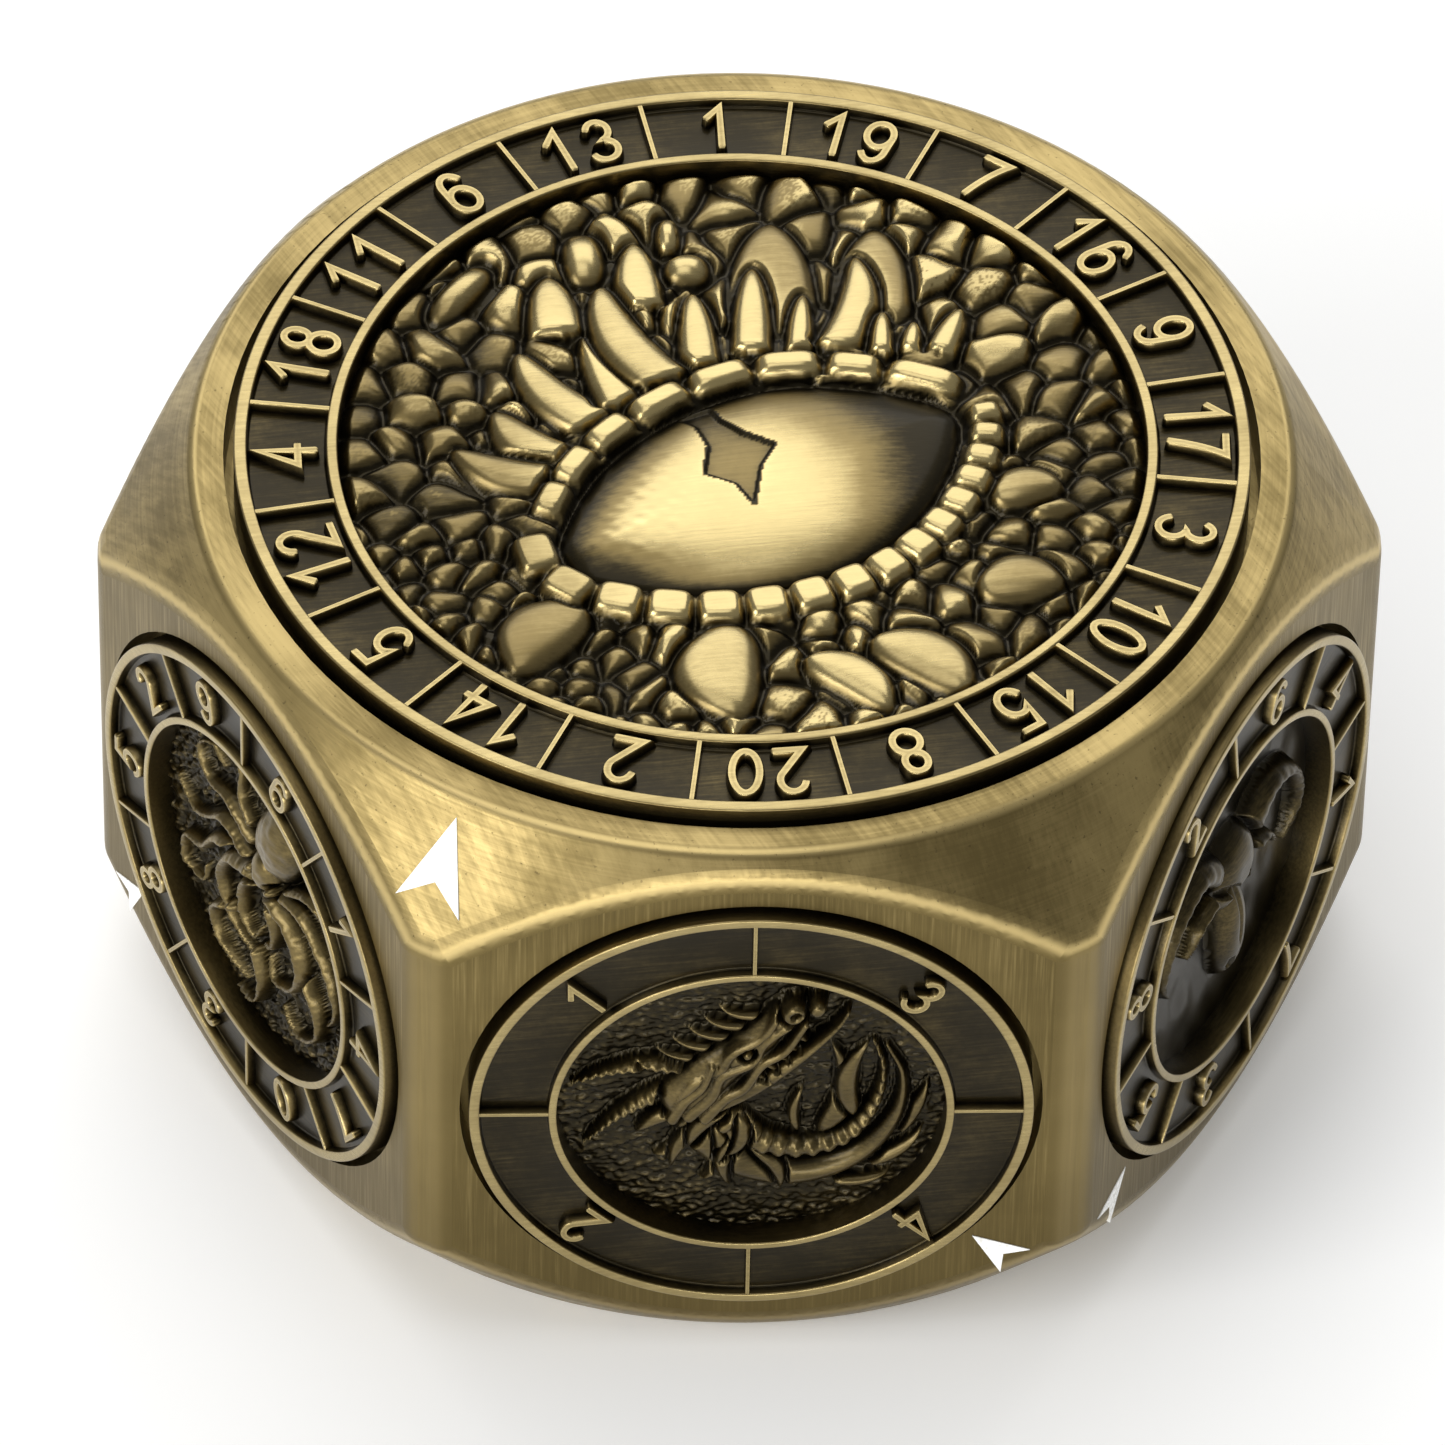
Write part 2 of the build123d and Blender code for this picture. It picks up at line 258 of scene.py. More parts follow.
def steel_finish(name, deep, bright, lump, roughness):
    """Turned or ground metal with fine uneven marks."""
    material, shader = new_finish(name)
    place = new_node(shader, "TexCoord").outputs["Object"]
    marks = grain(place, lump, 5.0, 0.65)
    cloud = grain(place, lump * 9, 2.0, 0.5)
    share = plus(times(marks, 0.6), times(cloud, 0.4))
    settings(shader, Base_Color=mixed(soft_step(share, 0.3, 0.7), deep, bright),
             Roughness=soft_step(marks, 0.3, 0.7, roughness * 0.8, roughness * 1.2))
    roughened(shader, marks, 0.01 * MM, 0.4)
    return material


black_steel = steel_finish("black_steel", (0.018, 0.018, 0.020, 1), (0.070, 0.068, 0.066, 1), 0.12 * MM, 0.38)
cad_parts["cover_screws"].data.materials[0] = black_steel

# ---- Hub screws and washer ----
# Each dial turns on a bearing that one black steel screw holds to the stub behind the dial.
# The large dial's screw bears on a turned washer.
for name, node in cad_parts.items():
    if name.startswith("hub_"):
        node.data.materials[0] = black_steel

# ---- Bearings ----
# Seven deep-groove ball bearings sit in the case, ground steel rings with polished balls
# between them, kept apart by a pressed brass cage. The outer rings are pressed into the case.
ring_steel = steel_finish("ring_steel", (0.40, 0.40, 0.41, 1), (0.64, 0.64, 0.65, 1), 0.08 * MM, 0.24)
ball_steel = steel_finish("ball_steel", (0.70, 0.70, 0.72, 1), (0.82, 0.82, 0.84, 1), 0.05 * MM, 0.08)
cage_brass = steel_finish("cage_brass_sheet", (0.52, 0.38, 0.15, 1), (0.74, 0.57, 0.28, 1), 0.15 * MM, 0.30)
for name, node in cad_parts.items():
    if name.startswith(("bearing_inner", "bearing_outer")):
        node.data.materials[0] = ring_steel
    if name.startswith("bearing_balls"):
        node.data.materials[0] = ball_steel
    if name.startswith("bearing_cage"):
        node.data.materials[0] = cage_brass

# ---- Index arrows ----
# Seven notched arrows, one beside each dial, are shallow pockets filled flush with white
# enamel and baked.
ENAMEL_CREAM = (0.80, 0.78, 0.72, 1)
ENAMEL_WHITE = (0.97, 0.97, 0.95, 1)


def enamel_finish(name):
    material, shader = new_finish(name, metallic=0.0)
    place = new_node(shader, "TexCoord").outputs["Object"]
    specks = grain(place, 0.18 * MM, 4.0, 0.6)
    settings(shader, Base_Color=mixed(soft_step(specks, 0.25, 0.5), ENAMEL_CREAM, ENAMEL_WHITE),
             Roughness=soft_step(specks, 0.3, 0.7, 0.22, 0.34))
    roughened(shader, specks, 0.01 * MM, 0.3)
    return material


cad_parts["pointer_marks"].data.materials[0] = enamel_finish("arrow_enamel")

# ---- Large dial: disc and numbers ----
# The large dial is a cast disc with two rims, a sunken ring of twenty numbered places between
# them and a relief inside. It is blackened all over, then rubbed so that only what stands up is
# bright. It turns on the bearing under it.
TOP_RIM_HEIGHT = 21.75
TOP_RADIUS = 15.63
TOP_RING = (12.78, 15.23)
TOP_RELIEF_R = 12.44
TOP_RING_DEPTH = 0.35
TOP_FLOOR = 0.90
TOP_THICK = 2.10
TOP_NUMBERS = (1, 19, 7, 16, 9, 17, 3, 10, 15, 8, 20, 2, 14, 5, 12, 4, 18, 11, 6, 13)
TOP_FIRST_CENTRE = -1.8
TOP_DIGIT = (1.14, 2.02)
TOP_STROKE = 0.30
DIAL_BLACK = (0.020, 0.0155, 0.0070, 1)
DIAL_BRONZE = (0.20, 0.148, 0.058, 1)
DIAL_BRIGHT = (0.51, 0.405, 0.185, 1)
DIAL_POLISH_AND_HIGHLIGHT = (0.78, 0.59, 0.27, 1)


def dial_finish(name):
    """Blackened bronze rubbed bright on its high places, with painted shade and highlight where a piece's wear
    carries them, lacquered, with fine slanting scratches.
    """
    material, shader = new_finish(name)
    wear_and_light_attribute = new_node(shader, "Attribute")
    wear_and_light_attribute.attribute_name = "wear_and_painted_light"
    local = new_node(shader, "Attribute")
    local.attribute_name = "on_dial"
    place = local.outputs["Vector"]
    x, y, z = split(place)
    slant = minus(y, times(x, 0.12))
    hairs = grain(joined(times(x, 0.05), slant, z), 0.09, 4.0, 0.6)
    specks = grain(place, 0.22, 5.0, 0.65)
    cloud = grain(place, 2.4, 3.0, 0.55)
    uneven = plus(times(minus(specks, 0.5), 0.12), times(minus(cloud, 0.5), 0.30))
    uneven = plus(uneven, times(minus(hairs, 0.5), 0.28))
    # The wear attribute carries real rubbing and, on the eyeball, painted shade and highlight.
    wear_and_painted_light = plus(wear_and_light_attribute.outputs["Fac"], uneven)
    colour = mixed(soft_step(wear_and_painted_light, 0.04, 0.55), DIAL_BLACK, DIAL_BRONZE)
    colour = mixed(soft_step(wear_and_painted_light, 0.50, 1.0), colour, DIAL_BRIGHT)
    # The top step, above a wear of one, is reached by the rubs on scale tops and by the eyeball's painted
    # shading, so it is polish on the scales and painted highlight on the eye.
    colour = mixed(soft_step(wear_and_painted_light, 0.95, 1.45), colour, DIAL_POLISH_AND_HIGHLIGHT)
    settings(shader, Base_Color=colour, Roughness=soft_step(wear_and_painted_light, 0.1, 0.9, 0.36, 0.27),
             Coat_Weight=0.14, Coat_Roughness=0.14)
    roughened(shader, plus(times(hairs, 0.7), times(specks, 0.15)), 0.012 * MM, 0.6)
    return material


def rounded(outline, radius, steps=3):
    """The outline with each corner but the first and last turned into a short curve."""
    corners = np.array(outline, float)
    points = [corners[0]]
    for before, corner, after in zip(corners, corners[1:], corners[2:]):
        back, ahead = before - corner, after - corner
        far_back, far_ahead = np.linalg.norm(back), np.linalg.norm(ahead)
        reach = min(radius, 0.45 * far_back, 0.45 * far_ahead)
        start, end = corner + back / far_back * reach, corner + ahead / far_ahead * reach
        for t in np.linspace(0, 1, steps + 1):
            points.append((1 - t) ** 2 * start + 2 * t * (1 - t) * corner + t ** 2 * end)
    points.append(corners[-1])
    return np.array(points)


def turned_disc(outline, segments):
    """A closed solid turned from an outline of radius and height, as points, faces and wear."""
    angles = np.linspace(0, 2 * pi, segments, endpoint=False)
    radius, height = outline[:, 0], outline[:, 1]
    points = np.stack([np.outer(radius, np.cos(angles)), np.outer(radius, np.sin(angles)),
                       np.repeat(height[:, None], segments, 1)], -1).reshape(-1, 3)
    row = np.arange(segments)
    following = np.roll(row, -1)
    faces = []
    for n in range(len(outline) - 1):
        low, high = n * segments, (n + 1) * segments
        faces += np.stack([low + row, low + following, high + following, high + row], -1).tolist()
    last = (len(outline) - 1) * segments
    faces.append(row[::-1].tolist())
    faces.append((last + row).tolist())
    wear_and_painted_light = np.clip(1 + height / 0.11, 0.0, 1.0) * 0.66 + 0.10
    return points, faces, np.repeat(wear_and_painted_light, segments)


def bow(x, y, across, up, start, end):
    """Points along part of an oval between two angles."""
    turn = np.radians(np.linspace(start, end, max(5, int(abs(end - start) / 11))))
    return [(x + across * cos(t), y + up * sin(t)) for t in turn]


six = bow(0.54, 0.69, 0.45, 0.31, 28, 165) + bow(0.5, 0.31, 0.5, 0.31, 176, 530)
slope = [((1 - t) ** 2 + 2 * t * (1 - t) * 0.52 + t * t * 0.30, (1 - t) ** 2 + 2 * t * (1 - t) * 0.60)
         for t in np.linspace(0, 1, 9)]
DIGITS = {
    "0": [bow(0.5, 0.5, 0.5, 0.5, 90, 450)],
    "1": [[(0.14, 0.74), (0.62, 1.0), (0.62, 0.0)]],
    "2": [bow(0.5, 0.73, 0.46, 0.27, 165, -32) + [(0.04, 0.0), (1.0, 0.0)]],
    "3": [bow(0.47, 0.755, 0.42, 0.245, 155, -82) + bow(0.48, 0.26, 0.5, 0.26, 82, -155)],
    "4": [[(0.74, 0.0), (0.74, 1.0), (0.0, 0.30), (1.0, 0.30)]],
    "5": [[(0.90, 1.0), (0.20, 1.0), (0.10, 0.50)] + bow(0.47, 0.31, 0.5, 0.31, 122, -150)],
    "6": [six],
    "7": [[(0.0, 1.0)] + slope],
    "8": [bow(0.5, 0.765, 0.41, 0.235, -90, 270), bow(0.5, 0.265, 0.5, 0.265, 90, 450)],
    "9": [[(1 - x, 1 - y) for x, y in six]],
}


def raised_stroke(path, width, top, floor):
    """A raised line with a crowned top and drafted sides along a flat path, its ends rounded."""
    path = np.array(path, float)
    closed = np.linalg.norm(path[0] - path[-1]) < 1e-6
    if closed:
        path = path[:-1]
        steps = np.roll(path, -1, 0) - path
        before = np.roll(steps, 1, 0)
    else:
        steps = np.diff(path, axis=0)
        steps = np.vstack([steps, steps[-1:]])
        before = np.vstack([steps[:1], steps[:-1]])
    steps = steps / np.linalg.norm(steps, axis=1)[:, None]
    before = before / np.linalg.norm(before, axis=1)[:, None]
    middle = steps + before
    middle = middle / np.maximum(np.linalg.norm(middle, axis=1), 1e-6)[:, None]
    side = np.stack([-middle[:, 1], middle[:, 0]], -1)
    mitre = 1 / np.maximum((middle * steps).sum(1), 0.42)
    section = [(-1.22, 1.0, 0.04), (-1.0, 0.22, 0.40), (-0.72, 0.03, 0.86), (0.0, 0.0, 0.70),
               (0.72, 0.03, 0.86), (1.0, 0.22, 0.40), (1.22, 1.0, 0.04)]
    half = width / 2
    rings = [(path[n], side[n] * mitre[n], 1.0, 0.0) for n in range(len(path))]
    if not closed:
        caps = [(0.45, 0.92, 0.0), (0.80, 0.66, 0.12), (1.05, 0.50, 1.0)]
        head = [(path[0] - steps[0] * half * out, side[0], narrow, drop) for out, narrow, drop in caps]
        tail = [(path[-1] + steps[-1] * half * out, side[-1], narrow, drop) for out, narrow, drop in caps]
        rings = head[::-1] + rings + tail
    points, wear_and_painted_light = [], []
    for place, sideways, narrow, drop in rings:
        for across, down, rubbed_and_highlight in section:
            sunk = down + (1 - down) * drop
            points.append((*(place + sideways * across * half * narrow), top + (floor - top) * sunk))
            wear_and_painted_light.append(rubbed_and_highlight * (1 - drop))
    count = len(section)
    pairs = [(n, (n + 1) % len(rings)) for n in range(len(rings) if closed else len(rings) - 1)]
    faces = [(a * count + k, b * count + k, b * count + k + 1, a * count + k + 1)
             for a, b in pairs for k in range(count - 1)]
    return np.array(points), faces, np.array(wear_and_painted_light)


def dial_parts(numbers, first_centre, ring, digit, stroke, floor):
    """The numbers, feet to the centre, and the bars between them, for one ring."""
    inner, outer = ring
    found = []
    step = 360 / len(numbers)
    wide, tall = digit[0] - stroke, digit[1] - stroke
    middle = (inner + outer) / 2
    for n, number in enumerate(numbers):
        letters = f"{number:02d}" if len(numbers) == 10 and number == 0 and max(numbers) > 9 else str(number)
        pitch = digit[0] * 1.22
        for k, letter in enumerate(letters):
            along = (k - (len(letters) - 1) / 2) * pitch
            angle = radians(first_centre + step * n) + along / middle
            right = np.array([cos(angle), -sin(angle)])
            out = np.array([sin(angle), cos(angle)])
            for path in DIGITS[letter]:
                flat = [out * (middle + (v - 0.5) * tall) + right * (u - 0.5) * wide for u, v in path]
                found.append(raised_stroke(flat, stroke, -0.015, -floor))
        angle = radians(first_centre + step * (n + 0.5))
        out = np.array([sin(angle), cos(angle)])
        reach = np.linspace(inner - 0.06, outer + 0.06, 4)
        found.append(raised_stroke([out * r for r in reach], stroke * 0.62, -0.03, -floor))
    return found


def dial_outline(radius, thick, ring, ring_depth, draft, relief_radius, floor, back, soften):
    """Half a dial's section, from the relief out over both rims, down the edge and in to the stub."""
    inner, outer = ring
    return rounded([(relief_radius, -floor), (relief_radius, 0), (inner, 0), (inner + draft, -ring_depth),
                    (outer - draft, -ring_depth), (outer, 0), (radius, 0), (radius, -thick)] + back, soften)


def gathered(parts):
    """Several lots of points, faces and wear as one."""
    points, faces, wear_and_painted_light, start = [], [], [], 0
    for some_points, some_faces, some_wear in parts:
        points.append(some_points)
        wear_and_painted_light.append(some_wear)
        faces += [[v + start for v in face] for face in some_faces]
        start += len(some_points)
    return np.vstack(points), faces, np.concatenate(wear_and_painted_light)


def into_scene(name, data):
    thing = bpy.data.objects.new(name, data)
    bpy.context.scene.collection.objects.link(thing)
    return thing


def make_piece(name, points, faces, wear_and_painted_light, finish, origin, right, up, body, crease=38):
    """A piece from points in a dial's own millimetres, stood in place on its body."""
    out = np.cross(right, up)
    placed = (np.array(origin) + points[:, :1] * right + points[:, 1:2] * up + points[:, 2:] * out) * MM
    mesh = bpy.data.meshes.new(name)
    mesh.from_pydata(placed.tolist(), [], faces)
    mesh.shade_smooth()
    if crease:
        mesh.set_sharp_from_angle(angle=radians(crease))
    wear_and_light_attribute = mesh.attributes.new("wear_and_painted_light", "FLOAT", "POINT")
    wear_and_light_attribute.data.foreach_set("value", np.asarray(wear_and_painted_light, np.float32))
    local = mesh.attributes.new("on_dial", "FLOAT_VECTOR", "POINT")
    local.data.foreach_set("vector", points.astype(np.float32).ravel())
    mesh.materials.append(finish)
    piece = into_scene(name, mesh)
    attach(piece, body)
    return piece


dial_bronze = dial_finish("dial_bronze")
TOP_PLACE = ((0, 0, TOP_RIM_HEIGHT), np.array((1.0, 0, 0)), np.array((0, 1.0, 0)), "d20_rotor")
TOP_BACK = [(4.9, -2.10), (4.9, -2.60), (4.0, -2.60), (4.0, -7.60), (1.5, -7.60), (1.5, -4.0)]
top_outline = dial_outline(TOP_RADIUS, TOP_THICK, TOP_RING, TOP_RING_DEPTH, 0.04, TOP_RELIEF_R, TOP_FLOOR,
                           TOP_BACK, 0.07)
top_disc = turned_disc(top_outline, 360)
top_numbers = dial_parts(TOP_NUMBERS, TOP_FIRST_CENTRE, TOP_RING, TOP_DIGIT, TOP_STROKE, TOP_RING_DEPTH)
face = make_piece("dial_face_d20", *gathered([top_disc] + top_numbers), dial_bronze, *TOP_PLACE)
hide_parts("dial_d20")

# ---- Large dial: relief ----
# A reptile's eye lies in a field of cobbled scales, cast in one with the dial. Rows of blocks
# line both lids, horns stand over the brow and broad thorns point down below it. Polishing has
# brightened the tops, and black stays in every groove between them.
TOP_RELIEF_STEP = 0.072
EYE_OUTLINE = [(-5.7, -3.6), (-5.2, -5.1), (-3.6, -5.8), (-1.2, -6.1), (1.5, -5.7), (3.9, -4.5), (5.8, -2.3),
               (6.8, 0.5), (6.3, 2.1), (3.6, 2.95), (0.8, 2.95), (-2.0, 1.7), (-4.4, -0.6)]
PUPIL = [(-2.0, 1.55), (-0.95, 1.9), (-0.65, 1.2), (0.0, 0.5), (1.0, -0.1), (0.55, -1.0), (0.3, -2.7),
         (-0.25, -1.8), (-1.2, -1.35), (-1.05, -0.1), (-1.4, 0.9)]
BROW_HOODS = [((1.1, 5.4), (1.1, 10.2), 2.9, 0.0), ((4.2, 5.6), (4.4, 9.9), 2.6, 0.0)]
BROW_HORNS = [
    ((-3.0, 6.2), (-3.2, 9.2), 1.7, 0.0), ((-5.6, 5.0), (-5.9, 7.7), 1.9, 0.0),
    ((-4.5, 1.2), (-6.9, 4.4), 1.8, 0.1), ((-3.7, 1.9), (-4.8, 5.2), 1.5, 0.0),
    ((-5.4, -0.6), (-7.7, 1.8), 1.9, 0.1), ((-6.1, -1.3), (-9.0, 0.1), 1.7, 0.1),
    ((-1.2, 3.6), (-1.4, 7.0), 1.4, 0.0), ((-2.3, 3.0), (-4.3, 7.4), 2.0, 0.1),
    ((0.4, 4.2), (0.5, 8.1), 1.4, 0.0), ((1.85, 4.1), (2.05, 6.9), 1.0, 0.0),
    ((3.0, 4.4), (3.7, 8.6), 1.6, -0.1), ((4.4, 4.1), (4.5, 6.1), 0.9, 0.0),
    ((5.3, 4.2), (5.5, 5.6), 0.8, 0.0), ((6.2, 4.1), (7.0, 6.2), 1.1, 0.0)]
LOW_THORNS = [
    ((2.1, -9.0), (4.3, -11.2), 1.9, 0.1), ((-5.4, -6.8), (-7.2, -9.5), 2.6, -0.1),
    ((-0.8, -7.9), (-0.4, -11.5), 2.9, -0.1), ((4.2, -8.2), (6.7, -10.5), 2.4, 0.1),
    ((7.3, -5.8), (9.8, -5.8), 2.3, 0.1), ((7.8, -2.0), (9.9, -1.6), 1.9, 0.1)]
PEBBLES = [
    ((-4.75, 8.5), (2.5, 1.5), 95), ((-1.55, 8.0), (1.6, 1.5), 0),
    ((-8.6, 7.0), (3.1, 1.3), 55), ((-2.1, 9.5), (1.7, 0.9), 90)]
EYE_BALL_SHOULDER = 3.6
PUPIL_DEPTH = 0.12


def between(a, b, c, d, t):
    """A place on the smooth line through four points, a share t of the way from b to c."""
    return 0.5 * (2 * b + (c - a) * t + (2 * a - 5 * b + 4 * c - d) * t ** 2 + (3 * b - a - 3 * c + d) * t ** 3)


def smooth_loop(corners, per_corner=6):
    """A closed smooth line through the corners."""
    points = np.array(corners, float)
    before, after, beyond = np.roll(points, 1, 0), np.roll(points, -1, 0), np.roll(points, -2, 0)
    shares = np.linspace(0, 1, per_corner, endpoint=False)
    return np.stack([between(before, points, after, beyond, t) for t in shares], 1).reshape(-1, 2)


def within(x, y, loop):
    """How far inside a closed line each place is, in millimetres, and less than nothing outside it."""
    nearest = np.full(x.shape, 1e9)
    inside = np.zeros(x.shape, bool)
    for (ax, ay), (bx, by) in zip(loop, np.roll(loop, -1, 0)):
        dx, dy = bx - ax, by - ay
        share = np.clip(((x - ax) * dx + (y - ay) * dy) / (dx * dx + dy * dy), 0, 1)
        nearest = np.minimum(nearest, (x - ax - share * dx) ** 2 + (y - ay - share * dy) ** 2)
        if ay != by:
            inside ^= ((ay > y) != (by > y)) & (x < (y - ay) * dx / dy + ax)
    return np.sqrt(nearest) * np.where(inside, 1, -1)


def pebble(x, y, centre, size, degrees, square=2.4):
    """The same for a rounded stone or block of a length and width."""
    c, s = cos(radians(degrees)), sin(radians(degrees))
    u = np.abs(((x - centre[0]) * c + (y - centre[1]) * s) / (size[0] / 2))
    v = np.abs((-(x - centre[0]) * s + (y - centre[1]) * c) / (size[1] / 2))
    return (1 - (u ** square + v ** square) ** (1 / square)) * min(size) / 2


def thorn(x, y, base, tip, width, bend=0.0, belly=0.10, blunt=1.0):
    """The same for a thorn, widest at its belly and drawn out to a point."""
    ax, ay = tip[0] - base[0], tip[1] - base[1]
    length = hypot(ax, ay)
    along = ((x - base[0]) * ax + (y - base[1]) * ay) / length ** 2
    off = (-(x - base[0]) * ay + (y - base[1]) * ax) / length - bend * length * 4 * along * (1 - along)
    foot = belly * 1.4
    swell = np.where(along < belly, np.sqrt(np.clip(1 - ((belly - along) / foot) ** 2, 0, 1)),
                     np.clip(1 - np.clip((along - belly) / (1 - belly), 0, 1) ** 2.4, 0, 1) ** blunt)
    half = width / 2 * swell + 1e-9
    inside = np.where(np.abs(off) < half, half / 2 * (1 - (off / half) ** 2), half - np.abs(off))
    beyond = np.maximum(along - 1, belly - foot - along) * length
    return np.where(beyond > 0, -np.hypot(beyond, np.abs(off)), inside)


def horn(x, y, path, thick, thin):
    """The same for a rod that follows a smooth path and tapers along it, and how far along each place is."""
    points = np.array(path, float)
    ends = np.vstack([2 * points[0] - points[1], points, 2 * points[-1] - points[-2]])
    line = []
    for n in range(1, len(ends) - 2):
        line += [between(*ends[n - 1:n + 3], t) for t in np.linspace(0, 1, 7, endpoint=False)]
    line = np.array(line + [points[-1]])
    best, where = np.full(x.shape, -1e9), np.zeros(x.shape)
    lengths = np.concatenate([[0], np.cumsum(np.linalg.norm(np.diff(line, axis=0), axis=1))])
    for n in range(len(line) - 1):
        (ax, ay), (bx, by) = line[n], line[n + 1]
        dx, dy = bx - ax, by - ay
        share = np.clip(((x - ax) * dx + (y - ay) * dy) / (dx * dx + dy * dy + 1e-12), 0, 1)
        travelled = lengths[n] + share * (lengths[n + 1] - lengths[n])
        radius = thick + (thin - thick) * (travelled / lengths[-1])
        inside = radius - np.hypot(x - ax - share * dx, y - ay - share * dy)
        where = np.where(inside > best, travelled, where)
        best = np.maximum(best, inside)
    return best, where


def crown(inside, shoulder):
    """A rounded rise from 0 at an edge to 1 at shoulder inside it."""
    t = np.clip(inside / shoulder, 0, 1)
    return np.sqrt(1 - (1 - t) ** 2)


def press(surface, inside, floor, top, shoulder, groove=0.16):
    """Stands a form on a surface, with a narrow groove round its foot."""
    sunk = floor + (surface - floor) * np.clip(-inside / groove, 0, 1) ** 0.6
    return np.where(inside > 0, floor + (top - floor) * crown(inside, shoulder), sunk)


def ripple(x, y, size, seed):
    """A gentle uneven swell from -1 to 1."""
    chance = np.random.default_rng(seed)
    total = np.zeros(x.shape)
    for _ in range(5):
        angle, phase = chance.uniform(0, 2 * pi, 2)
        wave = 2 * pi / (size * chance.uniform(0.7, 1.5))
        total += np.sin((x * cos(angle) + y * sin(angle)) * wave + phase)
    return total / 3.2


def softened(height, step, size):
    """A surface blurred over a given size."""
    rows, columns = (np.fft.fftfreq(n, step) for n in height.shape)
    blur = np.exp(-2 * (pi * size) ** 2 * (rows[:, None] ** 2 + columns[None, :] ** 2))
    return np.fft.ifft2(np.fft.fft2(height) * blur).real


def cobbles(x, y, radius, gap, seed, lean_from, stretch=1.25):
    """Fitted scales drawn out away from a point.

    Gives how far inside its scale each place is, which scale that is, and where in it."""
    chance = np.random.default_rng(seed)
    seeds = []
    for _ in range(9000):
        px, py = chance.uniform(-radius, radius, 2)
        if hypot(px, py) < radius + 0.4:
            wide = gap(px, py)
            if all((px - qx) ** 2 + (py - qy) ** 2 > wide * wide for qx, qy in seeds):
                seeds.append((px, py))
    x = x + 0.10 * ripple(x, y, 1.7, seed + 1)
    y = y + 0.10 * ripple(x, y, 1.9, seed + 2)
    first, second, third = (np.full(x.shape, 1e9) for _ in range(3))
    owner, along, across = np.zeros(x.shape, int), np.zeros(x.shape), np.zeros(x.shape)
    for n, (px, py) in enumerate(seeds):
        angle = atan2(py - lean_from[1], px - lean_from[0]) + chance.normal(0, 0.35)
        c, s = cos(angle), sin(angle)
        u, v = (x - px) * c + (y - py) * s, -(x - px) * s + (y - py) * c
        away = np.hypot(u / stretch, v)
        closer = away < first
        third = np.where(closer, second, np.where(away < second, second, np.minimum(third, away)))
        second = np.where(closer, first, np.minimum(second, away))
        first = np.where(closer, away, first)
        owner = np.where(closer, n, owner)
        along, across = np.where(closer, u, along), np.where(closer, v, across)
    near, next_near = (second - first) / 2 + 1e-6, (third - first) / 2 + 1e-6
    inside = near * next_near / np.sqrt(near ** 2 + next_near ** 2)
    return inside, owner, along, across, len(seeds)


def relief_piece(name, radius, step, height, polished, place, finish):
    """A relief sheet from a height for each place, its wear taken from how far each spot stands out, times the
    picture's own rub, which on the eye holds painted shade and highlight.
    """
    line = np.arange(-radius - step * 3, radius + step * 3, step)
    x, y = np.meshgrid(line, line)
    surface, rub_and_painted_shade = height(x, y, step)
    fine = surface - softened(surface, step, 0.14)
    broad = surface - softened(surface, step, 0.55)
    lowest, highest = np.percentile(surface[x ** 2 + y ** 2 < radius ** 2], (4, 97))
    level = np.clip((surface - lowest) / (highest - lowest), 0, 1)
    wear_and_painted_light = np.clip(0.20 + 0.56 * level + 2.4 * fine + 1.1 * broad, 0, 1) * rub_and_painted_shade * polished
    kept = x ** 2 + y ** 2 < (radius + 0.08) ** 2
    order = np.full(x.shape, -1)
    order[kept] = np.arange(kept.sum())
    corners = np.stack([order[:-1, :-1], order[:-1, 1:], order[1:, 1:], order[1:, :-1]], -1).reshape(-1, 4)
    faces = corners[(corners >= 0).all(1)].tolist()
    points = np.stack([x[kept], y[kept], surface[kept]], -1)
    return make_piece(name, points, faces, wear_and_painted_light[kept], finish, *place, crease=0)


def gentle(value, low, high):
    """Goes smoothly from 0 to 1 as value goes from low to high."""
    t = np.clip((value - low) / (high - low), 0, 1)
    return t * t * (3 - 2 * t)


def outward(loop):
    """Which way is outside at each point of a closed line drawn anticlockwise."""
    ahead = np.roll(loop, -1, 0) - np.roll(loop, 1, 0)
    ahead = ahead / np.linalg.norm(ahead, axis=1)[:, None]
    return np.stack([ahead[:, 1], -ahead[:, 0]], -1)


def lid_blocks(x, y, eye, first, last, lengths, width, stand):
    """A row of blocks of the given lengths round part of the eye: how far inside a block each place is."""
    lid = eye + stand * outward(eye)
    ring = np.vstack([lid, lid[:1]])
    away = np.vstack([outward(eye), outward(eye)[:1]])
    travelled = np.concatenate([[0], np.cumsum(np.linalg.norm(np.diff(ring, axis=0), axis=1))])
    start, end = first * travelled[-1], last * travelled[-1]
    lengths = np.array(lengths) * (end - start) / np.sum(lengths)
    best = np.full(x.shape, -1e9)
    for middle, long in zip(start + np.cumsum(lengths) - lengths / 2, lengths):
        spot = [np.interp(middle, travelled, ring[:, n]) for n in (0, 1)]
        turn = degrees(atan2(*[np.interp(middle, travelled, away[:, n]) for n in (1, 0)]))
        size = (width * min(1.0, 0.40 + 0.50 * long), long + 0.03)
        best = np.maximum(best, pebble(x, y, spot, size, turn, 4.5))
    return best


def scale_gap(x, y):
    """How far apart the scales are: small below on the left, large above the brow."""
    if x < -3 and y < -4:
        return 0.80
    return 1.32 if y > 3 else 1.06


